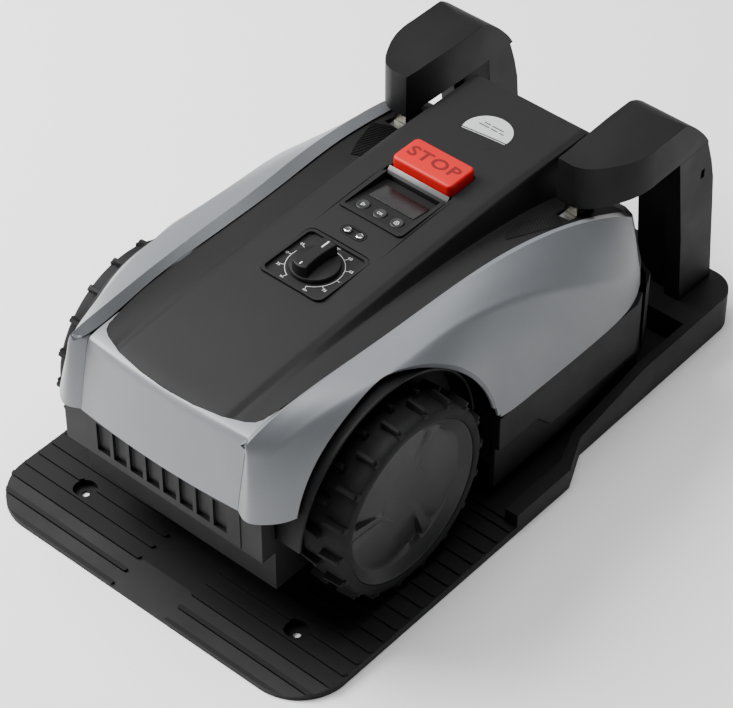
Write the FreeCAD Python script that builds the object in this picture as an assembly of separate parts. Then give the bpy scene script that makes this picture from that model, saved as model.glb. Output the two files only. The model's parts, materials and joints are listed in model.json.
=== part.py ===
import FreeCAD, Part
import math
import os

# Robotic lawn mower parked on its charging dock.
# Millimetres, +Z up. The origin is on the ground, under the middle of the dock.
# The dock's arms are towards +Y, and the mower faces +Y when it is parked.

os.makedirs("parts", exist_ok=True)

V = FreeCAD.Vector

# driving dimensions of the dock
dockWidth = 440.0
dockLength = 730.0
plateTop = 12.0        # top of the tread ribs
plateFloor = 9.5       # plate surface between the ribs
ribPitch = 19.2
ribWidth = 5.0
lipLength = 42.0       # the near end slopes down over this length
ribInnerEnd = 38.0     # the middle channel is free of ribs
waistHalf = 199.0      # half width past the step in the side walls
stepStart = 39.0
stepEnd = 83.0
railTop = 26.0         # side wall beside the mower
baseTop = 45.0         # top of the thick end under the arms
wallRiseEnd = 190.0    # the side wall climbs to the thick end's height up to here
baseFront = 274.0      # where the thick end starts
screwX = 144.6
screwY = -292.0
screwHole = 4.0
screwSeat = 13.0
screwSeatFloor = 2.5

# driving dimensions of the mower
wheelY = -172.0
wheelRadius = 110.7    # over the lugs
treadRadius = 103.0
wheelOuter = 189.5
wheelWidth = 52.0
wheelZ = plateTop + 0.3 + wheelRadius
archRadius = 131.0
tailY = -335.0
noseY = 264.0
sillZ = 131.0          # lower edge of the silver shells
shellWall = 3.0
casterX = 105.0
casterY = 190.0
casterRadius = 30.0
casterTrail = 20.0
casterBay = 56.0       # radius of the space that a caster swings in
casterBayZ = 92.0
tubBottom = 60.0
tubTop = 130.0
cutterY = 60.0
discZ = 68.7           # underside of the cutting disc at the 55 mm setting
discRadius = 80.0
bladeCircle = 66.0     # radius that the blades' pins stand on
cutterBay = 100.0      # radius of the space over the cutting disc
cutterBayZ = 105.0
guideCircle = 30.0
motorRadius = 20.0
bladeThick = 0.9

# driving dimensions of the controls
stopY = 79.0
dialY = -99.0
panelHalf = 41.0
buttonRadius = 7.0
buttonGap = 0.4         # round each button in its seat
buttonPitch = 21.8
buttonY = -3.0
knobRadius = 26.0
knobBase = 266.0
shaftRadius = 4.0
stripTop = 229.6       # top of the charging strips on the mower
stripThick = 1.6


def box(x0, x1, y0, y1, z0, z1):
    return Part.makeBox(x1 - x0, y1 - y0, z1 - z0, V(x0, y0, z0))


def rod(radius, length, base, axis):
    return Part.makeCylinder(radius, length, V(*base), V(*axis))


def ring(outer, inner, length, base, axis):
    return rod(outer, length, base, axis).cut(rod(inner, length, base, axis))


def join(shapes):
    whole = shapes[0]
    if len(shapes) > 1:
        whole = whole.multiFuse(shapes[1:])
    return whole.removeSplitter()


def flipX(shape):
    return shape.mirror(V(0, 0, 0), V(1, 0, 0))


def prism(points, axis, start, length):
    # points are (x, y), (y, z) or (x, z), for the axis that is left out
    if axis == "z":
        corners = [V(a, b, start) for a, b in points]
        reach = V(0, 0, length)
    elif axis == "x":
        corners = [V(start, a, b) for a, b in points]
        reach = V(length, 0, 0)
    else:
        corners = [V(a, start, b) for a, b in points]
        reach = V(0, length, 0)
    return Part.Face(Part.makePolygon(corners + corners[:1])).extrude(reach)


def roundBox(x0, x1, y0, y1, z0, z1, radius):
    # upright corners rounded
    body = box(x0, x1, y0, y1, z0, z1)
    upright = [e for e in body.Edges if abs(e.tangentAt(e.FirstParameter).z) > 0.99]
    return body.makeFillet(radius, upright)


def slot(x, y, z, halfLength, radius, depth):
    # a pill shape along X
    mid = box(x - halfLength, x + halfLength, y - radius, y + radius, z, z + depth)
    ends = [rod(radius, depth, (x + s * halfLength, y, z), (0, 0, 1)) for s in (-1, 1)]
    return join([mid] + ends)


def loftStations(stations, ruled=False):
    wires = []
    for ring3d in stations:
        corners = [V(*p) for p in ring3d]
        wires.append(Part.makePolygon(corners + corners[:1]))
    return Part.makeLoft(wires, True, ruled)


def insetLine(points, wall):
    # the same open (x, z) line, moved inward by the wall
    inner = []
    for i in range(len(points)):
        a = points[max(i - 1, 0)]
        b = points[min(i + 1, len(points) - 1)]
        dx = b[0] - a[0]
        dz = b[1] - a[1]
        size = math.hypot(dx, dz)
        inner.append((points[i][0] + dz / size * wall, points[i][1] - dx / size * wall))
    return inner


# ---------------------------------------------------------------- charging dock

def dockOutline():
    half = dockWidth / 2
    end = dockLength / 2
    right = [(half, -end), (half, stepStart), (waistHalf, stepEnd), (waistHalf - 3, end)]
    left = [(-x, y) for x, y in reversed(right)]
    return right + left


def dockBase():
    half = dockWidth / 2
    end = dockLength / 2
    outer = prism(dockOutline(), "z", 0, baseTop)
    nearCorners = []
    farCorners = []
    steps = []
    for e in outer.Edges:
        if abs(e.tangentAt(e.FirstParameter).z) < 0.99:
            continue
        y = e.CenterOfMass.y
        if y < -300:
            nearCorners.append(e)
        elif y > 300:
            farCorners.append(e)
        else:
            steps.append(e)
    outer = outer.makeFillet(58.0, nearCorners)
    farCorners = [e for e in outer.Edges
                  if abs(e.tangentAt(e.FirstParameter).z) > 0.99 and e.CenterOfMass.y > end - 1]
    outer = outer.makeFillet(32.0, farCorners)
    # the space above the plate, between the side walls
    cut = [box(-half - 1, half + 1, -end - 1, -46, plateFloor, baseTop + 1)]
    cut.append(prism([(-46, railTop), (stepEnd, railTop), (wallRiseEnd, baseTop), (wallRiseEnd, 90), (-46, 90)],
                     "x", -half - 1, dockWidth + 2))
    inside = [(half - 16, -47), (half - 16, stepStart + 4), (waistHalf - 12, stepEnd + 4),
              (waistHalf - 12, baseFront)]
    inside = inside + [(-x, y) for x, y in reversed(inside)]
    cut.append(prism(inside, "z", plateTop, baseTop))
    # sloping near lip
    cut.append(prism([(-end - 1, 3.5), (-end + lipLength, plateFloor), (-end + lipLength, 90), (-end - 1, 90)],
                     "x", -half - 1, dockWidth + 2))
    body = outer.cut(Part.makeCompound(cut))
    ribs = []
    for k in range(17):
        y = -end + 2.5 + k * ribPitch
        lip = 3.5 + (y + end) * (plateFloor - 3.5) / lipLength
        top = min(plateTop, lip + plateTop - plateFloor)
        reach = half - 4.0
        for side in (-1, 1):
            mid = side * (ribInnerEnd + reach) / 2
            length = (reach - ribInnerEnd) / 2
            ribs.append(slot(mid, y, 2.0, length, ribWidth / 2, top - 2.0))
    edge = prism(dockOutline(), "z", 0, plateTop)
    edgeNear = [e for e in edge.Edges
                if abs(e.tangentAt(e.FirstParameter).z) > 0.99 and e.CenterOfMass.y < -300]
    edge = edge.makeFillet(58.0, edgeNear)
    ribGroup = Part.makeCompound(ribs).common(edge)
    body = body.fuse(ribGroup.Solids)
    # ground screw holes, each in a countersunk seat
    for sx in (-1, 1):
        x = sx * screwX
        body = body.cut(rod(screwHole, 40, (x, screwY, -5), (0, 0, 1)))
        body = body.cut(rod(screwSeat, 20, (x, screwY, screwSeatFloor), (0, 0, 1)))
    # electronics bay in the thick end, open underneath
    body = body.cut(box(-105, 105, baseFront + 6, end - 24, -1, baseTop - 5))
    # standoffs for the circuit board, hanging from the roof of the bay
    for x in (-62, 62):
        for y in (294, 319):
            body = body.fuse(rod(3.5, baseTop - 28.6, (x, y, 23.6), (0, 0, 1)))
    # the arms' sockets
    for sx in (-1, 1):
        x0, x1 = sorted((sx * 110.0, sx * 150.0))
        body = body.cut(box(x0, x1, 312, 346, -1, baseTop + 1))
    # cable way out through the end wall
    body = body.cut(rod(9.0, 60, (0, end - 40, 22), (0, 1, 0)))
    # wire ways from the bay to the arms
    for sx in (-1, 1):
        x0, x1 = sorted((sx * 104.0, sx * 112.0))
        body = body.cut(box(x0, x1, 322, 334, 10, 22))
    return body.removeSplitter()


armInner = 96.0
armOuter = 162.0
armUnder = 247.0       # underside of the head
armTop = 300.0
contactX = 113.0       # middle of a charging contact


def armPost(side):
    # the outer leg and the inner web stand on the dock's thick end
    back = [(356, baseTop), (345.5, 158), (342, 192), (336, 217), (326, armUnder)]
    leg = [(300, baseTop)] + back + [(277, armUnder), (292, 134)]
    web = [(308, baseTop)] + back + [(290, armUnder), (300, 134)]
    outer = prism(leg, "x", 142.0, armOuter - 142.0)
    inner = prism(web, "x", armInner + 4.0, 142.0 - armInner - 4.0)
    # tenon that drops into the dock's socket
    tenon = box(110.5, 149.5, 312.5, 345.5, 16, baseTop)
    body = join([outer, inner, tenon])
    # wire way, and the small slit on the leg's outer face
    body = body.cut(box(118, 128, 314, 324, 10, armUnder + 5))
    body = body.cut(roundBox(armOuter - 4, armOuter + 1, 318, 324, 203, 214, 0.4))
    body = body.removeSplitter()
    return body if side > 0 else flipX(body)


def armHead(side):
    # plan outline: blunt tip towards the mower, widening to the post
    tipOuter = Part.BSplineCurve()
    tipOuter.interpolate([V(118, 152, armUnder), V(133.5, 160, armUnder), V(146.5, 178, armUnder),
                          V(157, 200, armUnder), V(161.7, 220, armUnder), V(armOuter, 236, armUnder)])
    corners = [V(armOuter, 236, armUnder), V(armOuter, 338, armUnder), V(armInner + 1, 338, armUnder),
               V(armInner, 240, armUnder), V(99, 153, armUnder), V(118, 152, armUnder)]
    sides = [Part.makeLine(a, b) for a, b in zip(corners[:-1], corners[1:])]
    plan = Part.Face(Part.Wire([tipOuter.toShape()] + sides))
    body = plan.extrude(V(0, 0, 70))
    # side profile: level from the tip, then a round shoulder down to the post
    shoulder = Part.BSplineCurve()
    shoulder.interpolate([V(90, 150, armTop), V(90, 215, armTop + 1.5), V(90, 262, armTop + 1), V(90, 285, 293),
                          V(90, 306, 275), V(90, 325, 251), V(90, 336, 218)])
    low = armUnder - 8
    lines = [shoulder.toShape(), Part.makeLine(V(90, 336, 218), V(90, 140, 218)),
             Part.makeLine(V(90, 140, 218), V(90, 140, armTop)), Part.makeLine(V(90, 140, armTop), V(90, 150, armTop))]
    body = body.common(Part.Face(Part.Wire(lines)).extrude(V(95, 0, 0)))
    # the top falls a little outwards from a ridge, and is bevelled along the inner side
    body = body.cut(prism([(112, armTop + 1.5), (armOuter + 1, 294.5), (armOuter + 1, 330), (112, 330)],
                          "y", 140, 200))
    body = body.cut(prism([(90, 297), (112, armTop + 1.5), (112, 330), (90, 330)], "y", 140, 200))
    # comb-like pocket for the charging contacts, open downwards
    body = body.cut(box(contactX - 11, contactX + 11, 156, 192, armUnder - 1, 283))
    for k in range(2):
        y = 167.0 + k * 10.5
        body = body.fuse(box(contactX - 11, contactX + 11, y, y + 3.0, low, 262))
    body = body.removeSplitter()
    return body if side > 0 else flipX(body)


def chargePins(side):
    # three blades on one bridge, pressed down by springs
    blades = [box(contactX - 8, contactX + 8, 160.0 + k * 10.5, 166.0 + k * 10.5, stripTop + 0.4, 264.0)
              for k in range(3)]
    bridge = box(contactX - 8, contactX + 8, 158.5, 189.0, 264, 267)
    body = join(blades + [bridge])
    return body if side > 0 else flipX(body)


def contactSprings():
    # short stacks that push the contacts down, with room for their travel
    springs = []
    for side in (-1, 1):
        for y in (165.0, 182.0):
            springs.append(ring(3.2, 2.4, 9.0, (side * contactX, y, 274.0), (0, 0, 1)))
    return Part.makeCompound(springs)


def dockBoard():
    board = box(-70, 70, baseFront + 14, 325, 22, 23.6)
    chips = [box(-50, -30, 295, 312, 23.6, 30), box(10, 40, 295, 315, 23.6, 28)]
    return join([board] + chips)


def powerInlet():
    end = dockLength / 2
    body = ring(8.8, 4.5, 23.8, (0, end - 24, 22), (0, 1, 0))
    return body.fuse(ring(11.5, 4.5, 3, (0, end - 27, 22), (0, 1, 0))).removeSplitter()


# ---------------------------------------------------------------- mower bodywork

# right shell, station by station along the mower:
# y, inner edge, rim ridge, brow, flank and lower edge as (x, z)
shellStations = [
    (-329.0, (103, 254), (114, 261), (116, 236), (117.5, 205), (119, 173)),
    (-308.0, (103, 258), (112, 265), (127, 244), (140, 210), (151, 173)),
    (-265.0, (104, 261), (112, 269), (130, 259), (149, 230), (160, 173)),
    (-215.0, (108, 263), (115, 270), (140, 264), (162, 249), (171, 185)),
    (-172.0, (110, 262), (118, 268), (147, 263), (170, 252), (178, 190)),
    (-130.0, (111, 260), (121, 266), (149, 262), (177, 243), (184, 180)),
    (-85.0, (112, 259), (122, 265), (149, 261), (179, 222), (186, 155)),
    (-35.0, (113, 258), (123, 266), (155, 254), (176, 205), (186, sillZ)),
    (15.0, (116, 258), (127, 266), (163, 245), (179, 195), (186, sillZ)),
    (65.0, (120.5, 255), (131, 261), (172, 227), (183, 182), (187, sillZ)),
    (115.0, (125.5, 246), (136, 252), (179, 200), (185, 168), (187, sillZ)),
    (160.0, (131, 234), (143, 239), (179, 178), (184, 158), (186, sillZ)),
    (192.0, (137, 223), (149, 226), (174, 166), (178, 150), (180, sillZ)),
    (214.0, (141, 214), (151, 212), (163, 162), (167, 148), (168, sillZ)),
]
stationPitch = 21.0


def easeBetween(a, b, c, d, t):
    # smooth curve through b and c, with a and d as its neighbours
    return 0.5 * (2 * b + (c - a) * t + (2 * a - 5 * b + 4 * c - d) * t * t + (3 * b - a - 3 * c + d) * t ** 3)


def smoothStations(stations, pitch):
    # evenly spaced stations through the given ones; points become flat lists and back
    flat = [[s[0]] + [v for point in s[1:] for v in point] for s in stations]
    result = []
    for i in range(len(flat) - 1):
        before = flat[max(i - 1, 0)]
        after = flat[min(i + 2, len(flat) - 1)]
        count = max(1, round((flat[i + 1][0] - flat[i][0]) / pitch))
        for k in range(count):
            t = k / count
            result.append([easeBetween(*four, t) for four in zip(before, flat[i], flat[i + 1], after)])
    result.append(flat[-1])
    return [[row[0]] + [(row[j], row[j + 1]) for j in range(1, len(row), 2)] for row in result]


def leanTail(y, corners):
    # the end of the tail leans forward with height, and the lean fades out along the shell
    lean = max(0.0, (-265.0 - y) / 64.0) * 9.0 / 87.0
    return [(x, y + lean * (z - 231.0), z) for x, z in corners]


def stationRing(station):
    outer = list(station[1:])
    return leanTail(station[0], outer + list(reversed(insetLine(outer, shellWall))))


finInner = 103.2       # the rear face ends just inside this


def tailFin():
    # the tail end is closed by a slanting face, from its ridge in to the edge of the rear face
    rings = []
    for station in shellStations[:3]:
        outer = list(station[1:])
        outer[0] = (finInner, outer[0][1])
        rings.append(leanTail(station[0], outer + [(finInner, outer[-1][1])]))
    envelope = loftStations(rings, True)
    foot = [(finInner, -318), (finInner, -324.5), (118.5, -336), (140, -336), (140, -318)]
    head = [(finInner, -293), (finInner, -302), (114, -327), (140, -327), (140, -293)]
    wedge = loftStations([[(x, y, 172.0) for x, y in foot], [(x, y, 262.0) for x, y in head]], True)
    return envelope.common(wedge)


def shell(side):
    body = loftStations([stationRing(s) for s in smoothStations(shellStations, stationPitch)])
    body = body.fuse(tailFin())
    body = body.cut(rod(archRadius, 120, (130, wheelY, wheelZ), (1, 0, 0)))
    body = body.cut(box(100, 220, wheelY - archRadius, wheelY + archRadius, 60, wheelZ))
    body = body.cut(box(100, 220, wheelY, wheelY + archRadius, 60, sillZ + 8))
    body = body.removeSplitter()
    return body if side > 0 else flipX(body)


def coverEdge(gap):
    # near edge of the cover in plan, from the right flank round to the left one
    right = [(99 + gap, -255), (99 + gap, -268), (93 + gap, -285 - gap), (75, -294 - gap), (40, -297.5 - gap)]
    return right + [(-x, y) for x, y in reversed(right)]


def tailFascia():
    # face, rounded top edge and the strip up to the cover, lofted across the mower
    def profile(x):
        sag = 5.0 * (x / 100.0) ** 2
        outer = [(tailY + 6.0 + sag, 172.5), (tailY + 10.0 + sag, 190.0), (tailY + 26.0 + sag, 249.0),
                 (tailY + 30.0 + sag, 254.0), (tailY + 41.0 + sag * 0.5, 256.5), (-262.0, 258.5)]
        inner = [(-262.0, 255.5), (tailY + 43.0 + sag * 0.5, 253.5), (tailY + 33.0 + sag, 251.5),
                 (tailY + 29.5 + sag, 248.0), (tailY + 13.5 + sag, 190.0), (tailY + 9.5 + sag, 172.5)]
        return [(x, y, z) for y, z in outer + inner]
    body = loftStations([profile(x) for x in (-102.8, -70.0, -35.0, 0.0, 35.0, 70.0, 102.8)])
    return body.cut(prism(coverEdge(0.4), "z", 200, 100)).removeSplitter()


def rearVentBand():
    # dark band under the face, with a row of blind slots and a block at each end
    body = box(-103, 103, -322, -300, 119, 171.8)
    for k in range(8):
        x = -77 + k * 22.0
        body = body.cut(roundBox(x - 8.5, x + 8.5, -323, -318, 128, 164, 0.9))
    body = body.cut(box(-100, 100, -315.5, -299, 122, 169))
    blocks = [box(x, x + 27.0, -321, -303, 117, 172) for x in (-130, 103)]
    return join([body] + blocks)


spineHalf = 73.0
spineFoot = 84.0
spineEnd = 234.0
flankEnd = 214.0
valleyX = 82.0

# y, cover edge (x, z), valley z, spine shoulder z, spine centre z
coverStations = [
    (-310.0, (100, 255.0), 253.5, 254.5, 254.5),
    (-275.0, (101, 258.0), 255.5, 257.5, 257.5),
    (-235.0, (106, 261.5), 257.0, 260.5, 261.0),
    (-185.0, (109, 261.0), 257.5, 263.5, 264.5),
    (-135.0, (110.5, 259.0), 257.0, 265.5, 267.0),
    (-85.0, (111.5, 257.5), 256.5, 267.5, 269.5),
    (-35.0, (112.7, 257.0), 254.5, 269.5, 272.0),
    (15.0, (115.3, 256.5), 251.0, 271.0, 274.0),
    (65.0, (119.9, 253.0), 246.0, 272.5, 275.5),
    (115.0, (124.8, 244.0), 239.0, 272.5, 275.0),
    (160.0, (130.3, 232.0), 229.0, 271.5, 274.0),
    (200.0, (138.0, 219.0), 217.0, 271.0, 272.5),
    (spineEnd, (146.0, 208.0), 206.0, 270.5, 271.5),
]


def coverRing(station):
    y, edge, valley, shoulder, centre = station
    half = [(edge[0], edge[1]), (valleyX + 12, valley + 0.6), (valleyX, valley),
            (spineHalf + 2, shoulder - 3.0), (spineHalf - 6, shoulder)]
    outer = half + [(0, centre)] + [(-x, z) for x, z in reversed(half)]
    corners = outer + list(reversed(insetLine(outer, -shellWall)))
    return [(x, y, z) for x, z in corners]


def topCover():
    flat = [(s[0], s[1], (s[2], s[3]), (s[4], 0.0)) for s in coverStations]
    smooth = smoothStations(flat, stationPitch)
    body = loftStations([coverRing((s[0], s[1], s[2][0], s[2][1], s[3][0])) for s in smooth])
    # plan outline with a curved near edge
    right = [(s[1][0], s[0]) for s in coverStations[2:]]
    left = [(-x, y) for x, y in reversed(right)]
    body = body.common(prism(coverEdge(0)[::-1] + right + left, "z", 150, 200))
    # the spine runs on past the cover's flanks
    for s in (-1, 1):
        x0, x1 = sorted((s * spineFoot, s * 200.0))
        body = body.cut(box(x0, x1, flankEnd, 260, 150, 300))
    # flat seats for the charging strips
    for s in (-1, 1):
        body = body.cut(box(s * contactX - 9, s * contactX + 9, 146, 188, stripTop - stripThick, 300))
        body = body.fuse(box(s * contactX - 9, s * contactX + 9, 146, 188, 219, stripTop - stripThick))
    # openings for the panel, the sensor, the dial and the stop button
    body = body.cut(roundBox(-panelHalf, panelHalf, -20.5, 62.5, 240, 300, 6))
    body = body.cut(slot(0, -42, 240, 8, 7.2, 60))
    body = body.cut(roundBox(-40.5, 40.5, -138.5, -59.5, 240, 300, 9))
    body = body.cut(roundBox(-39.5, 39.5, stopY - 21.5, stopY + 21.5, 240, 300, 6))
    return body.removeSplitter()


def tubPlan(inset):
    # outline of the lower body: narrow between the drive wheels, full width ahead of them
    half = [(126 - inset, -299 + inset), (126 - inset, -34 + inset), (171 - inset, -34 + inset),
            (172 - inset, 180 - inset * 0.3), (158 - inset * 0.8, 222 - inset * 0.8), (120 - inset * 0.4, 243 - inset)]
    return half + [(-x, y) for x, y in reversed(half)]


screwSpots = [(s * x, y) for s in (-1, 1) for x, y in ((112, -288), (112, -50), (158, 10))]


def chassisTub():
    height = tubTop - tubBottom
    whole = prism(tubPlan(0), "z", tubBottom, height)
    body = whole.cut(prism(tubPlan(3), "z", tubBottom + 3, height))
    # bays in the underside for the cutting disc and the casters
    spots = [(0, cutterY, cutterBay, cutterBayZ)]
    spots = spots + [(s * casterX, casterY, casterBay, casterBayZ) for s in (-1, 1)]
    for x, y, radius, roof in spots:
        body = body.fuse(rod(radius + 3, roof + 3 - tubBottom, (x, y, tubBottom), (0, 0, 1)).common(whole))
    for x, y, radius, roof in spots:
        body = body.cut(rod(radius, roof - tubBottom + 5, (x, y, tubBottom - 5), (0, 0, 1)))
    body = body.cut(rod(24, 20, (0, cutterY, cutterBayZ - 5), (0, 0, 1)))
    body = body.cut(rod(14, 300, (-150, wheelY, wheelZ), (1, 0, 0)))
    for s in (-1, 1):
        body = body.fuse(rod(12, 30, (s * casterX, casterY, casterBayZ + 3), (0, 0, 1)))
        body = body.cut(rod(8.05, 80, (s * casterX, casterY, 55), (0, 0, 1)))
    # standoffs for the main board
    for x in (-52, 52):
        for y in (-112, -52):
            body = body.fuse(rod(4, 46, (x, y, tubBottom + 2), (0, 0, 1)))
    for x, y in screwSpots:
        body = body.fuse(rod(5, 16, (x, y, tubBottom + 3), (0, 0, 1)))
        body = body.cut(rod(4.2, 2.6, (x, y, tubBottom - 0.1), (0, 0, 1)))
        body = body.cut(rod(1.9, 14, (x, y, tubBottom + 2), (0, 0, 1)))
    return body.removeSplitter()


def chassisScrews():
    screws = []
    for x, y in screwSpots:
        head = rod(4.0, 2.2, (x, y, tubBottom + 0.2), (0, 0, 1))
        screws.append(head.fuse(rod(1.85, 13, (x, y, tubBottom + 2.4), (0, 0, 1))).removeSplitter())
    return Part.makeCompound(screws)


def chassisLid():
    body = prism(tubPlan(3.5), "z", tubTop + 0.2, 3.0)
    # bosses under the cover
    for x, y, top in ((-60, -250, 255), (60, -250, 255), (-60, 195, 267), (60, 195, 267)):
        body = body.fuse(ring(7, 2, top - 133, (x, y, 133), (0, 0, 1)))
    body = body.cut(rod(40.0, 10, (0, cutterY, 126), (0, 0, 1)))
    body = body.cut(rod(6.0, 10, (0, dialY, 126), (0, 0, 1)))
    return body.removeSplitter()


def wheelArchLiner(side):
    # black liner over the wheel: a part drum under the shell, closed on its inner side
    drum = ring(archRadius - 2.0, archRadius - 5.0, 28.0, (130.5, wheelY, wheelZ), (1, 0, 0))
    wall = rod(archRadius - 2.0, 3.0, (127.5, wheelY, wheelZ), (1, 0, 0))
    body = drum.fuse(wall)
    body = body.cut(box(100, 220, -400, 100, -50, 133.5))
    body = body.removeSplitter()
    return body if side > 0 else flipX(body)


def sideSkirt(side):
    # upper ledge panel, then a lower panel set in, along the flank
    upper = [(-34, 84), (-34, 129), (208, 129), (208, 60), (50, 60), (28, 84)]
    lower = [(-34, 30), (-34, 84), (28, 84), (50, 60), (208, 60), (208, 36), (200, 30)]
    body = prism(upper, "x", 172.5, 11.5).fuse(prism(lower, "x", 172.5, 6.5))
    # the front end bends in with the rounded nose
    nose = prism([(150, -40), (190, -40), (190, 175), (175, 212), (150, 212)], "z", 20, 120)
    body = body.common(nose).removeSplitter()
    return body if side > 0 else flipX(body)


# front cap: y, then its half outline from the lower edge up to the foot of the spine as (x, z)
capStations = [
    (flankEnd + 0.4, (167.3, 133.4), (166, 148), (161.5, 163), (150, 211), (140, 212.8), (spineFoot, 211.0)),
    (231.0, (156, 133.4), (155, 147), (151, 160), (140, 199), (131, 204), (spineFoot, 205.0)),
    (243.0, (137, 133.4), (136, 145), (132, 156), (122, 184), (113, 190), (spineFoot, 192.0)),
    (248.0, (122, 133.4), (121, 142), (117, 151), (108, 170), (100, 174), (spineFoot, 176.0)),
]


def capLoft(inset, shift):
    rings = []
    for station in capStations:
        half = [(x - inset, z - (inset if z > 134 else 4.0 * inset)) for x, z in station[1:]]
        outline = half + [(-x, z) for x, z in reversed(half)]
        rings.append([(x, station[0] - shift, z) for x, z in outline])
    return loftStations(rings, True)


def noseCover():
    # hollow front of the body above the bumper, between the shells and under the spine
    body = capLoft(0.0, 0.0).cut(capLoft(shellWall, shellWall + 0.5))
    body = body.cut(box(-spineFoot - 0.4, spineFoot + 0.4, 150, spineEnd + 0.4, 150, 300))
    # front of the spine
    face = [(-spineFoot, 190), (-spineFoot, 205), (-spineHalf - 2, 266), (spineHalf + 2, 266),
            (spineFoot, 205), (spineFoot, 190)]
    return join([body, prism(face, "y", spineEnd + 0.4, 5.0)])


def frontBumper():
    outer = [(-176, 214), (-164, 238), (-130, 257), (-60, 263.5), (0, noseY), (60, 263.5), (130, 257),
             (164, 238), (176, 214)]
    inner = [(-172.5, 217.5), (-160, 234), (-128, 250), (-60, 256), (0, 256.5), (60, 256), (128, 250),
             (160, 234), (172.5, 217.5)]
    body = prism(outer + list(reversed(inner)), "z", 40, 88)
    for s in (-1, 1):
        body = body.fuse(box(s * 60 - 8, s * 60 + 8, 248.0, 256.6, 90, 106))
    return body.removeSplitter()


# ---------------------------------------------------------------- controls

def controlPanel():
    # sunken display panel: sloping floor, rim and the three button seats
    body = roundBox(-40.6, 40.6, -20.1, 50.6, 262.0, 274.2, 5.6)
    floor = [(-15, panelFloor(-15)), (51, panelFloor(51)), (51, 280), (-15, 280)]
    body = body.cut(prism(floor, "x", -36, 72))
    for k in (-1, 0, 1):
        body = body.cut(rod(buttonRadius + buttonGap, 20, (k * buttonPitch, buttonY, 255), (0, 0, 1)))
    return body.removeSplitter()


def panelFloor(y):
    # the floor sinks towards the stop button
    return 272.6 - 0.136 * (y + 15)


def displayWindow():
    lift = 0.05
    near = 13.5
    far = 39.0
    side = [(near, panelFloor(near) + lift), (near, panelFloor(near) + 0.9),
            (far, panelFloor(far) + 0.9), (far, panelFloor(far) + lift)]
    return prism(side, "x", -29, 58)


def panelButton(index):
    x = index * buttonPitch
    top = panelFloor(buttonY) + 1.2
    cap = rod(buttonRadius, 5.0, (x, buttonY, top - 5.0), (0, 0, 1))
    cap = cap.makeFillet(0.8, [e for e in cap.Edges if e.CenterOfMass.z > top - 0.5])
    stem = rod(1.8, 9.0, (x, buttonY, top - 14.0), (0, 0, 1))
    return cap.fuse(stem).removeSplitter()


def panelTrim():
    return prism([(51.0, 262), (51.0, 269.5), (57.2, 275.5), (57.2, 262)], "x", -39.0, 78.0)


def stopButton():
    body = roundBox(-38.5, 38.5, stopY - 20.5, stopY + 20.5, 272.5, 286.5, 6)
    top = [e for e in body.Edges if e.BoundBox.ZMin > 286.0]
    body = body.makeFillet(3.0, top)
    stem = box(-20, 20, stopY - 10, stopY + 10, 262, 272.5)
    return body.fuse(stem).removeSplitter()


def stopSwitch():
    # the switch hangs from the cover on a strap with two ears
    body = roundBox(-30, 30, stopY - 15, stopY + 15, 242, 257.5, 2)
    strap = box(-46, 46, stopY - 8, stopY + 8, 246, 250)
    ears = [box(x, x + 4, stopY - 8, stopY + 8, 246, 270) for x in (-46, 42)]
    return join([body, strap] + ears)


def sensorSeat():
    body = slot(0, -42, 263.5, 7.8, 6.9, 8.2)
    return body.cut(slot(0, -42, 269.5, 7.2, 5.6, 4))


def sensorStuds():
    studs = []
    for s in (-1, 1):
        stud = rod(4.4, 3.4, (s * 7.8, -42, 269.6), (0, 0, 1))
        studs.append(stud.makeFillet(1.8, [e for e in stud.Edges if e.CenterOfMass.z > 272.5]))
    return Part.makeCompound(studs)


def dialPlate():
    body = roundBox(-40.1, 40.1, -138.1, -59.9, 260, 269.4, 8.6)
    body = body.cut(roundBox(-36.5, 36.5, -134.5, -63.5, 265.6, 275, 6))
    return body.cut(rod(shaftRadius + 0.05, 20, (0, dialY, 255), (0, 0, 1)))


def dialKnob():
    skirt = rod(knobRadius, 5.0, (0, dialY, knobBase), (0, 0, 1))
    skirt = skirt.makeFillet(1.2, [e for e in skirt.Edges if e.CenterOfMass.z > 270.5])
    grip = roundBox(-8.5, 8.5, dialY - 25.0, dialY + 25.0, 269, 284, 5)
    grip = grip.makeFillet(1.6, [e for e in grip.Edges if e.BoundBox.ZMin > 283.5])
    shaft = rod(shaftRadius, 128, (0, dialY, 140), (0, 0, 1))
    return join([skirt, grip, shaft])


def chargeStrips():
    strips = []
    for s in (-1, 1):
        strips.append(box(s * contactX - 7, s * contactX + 7, 149, 187, stripTop - stripThick, stripTop))
    return Part.makeCompound(strips)


# ---------------------------------------------------------------- inside the mower

def batteryPack():
    return roundBox(-70, 70, -285, -215, tubBottom + 3, 122, 6)


def mainBoard():
    return join([box(-60, 60, -120, -40, 108, 109.6), box(-40, -10, -100, -70, 109.6, 116),
                 box(15, 45, -100, -60, 109.6, 120)])


def gearMotor(side):
    case = roundBox(60, 123, wheelY - 34, wheelY + 34, 72, tubTop - 0.1, 6)
    motor = rod(20, 41, (19.5, wheelY, 100), (1, 0, 0))
    body = case.fuse(motor)
    body = body.cut(rod(6.05, 80, (85, wheelY, wheelZ), (1, 0, 0)))
    body = body.removeSplitter()
    return body if side > 0 else flipX(body)


def spotsAround(radius, start):
    return [(radius * math.cos(math.radians(start + 120 * k)),
             cutterY + radius * math.sin(math.radians(start + 120 * k))) for k in range(3)]


def carriageGuide():
    # three rods that the cutter carriage climbs on, standing on the roof of the cutter bay
    rods = [rod(3.0, 66.0, (x, y, cutterBayZ + 3), (0, 0, 1)) for x, y in spotsAround(guideCircle, 90)]
    return Part.makeCompound(rods)


carriageZ = 134.0      # underside of the carriage, clear of the bay's roof at the lowest setting


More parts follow.
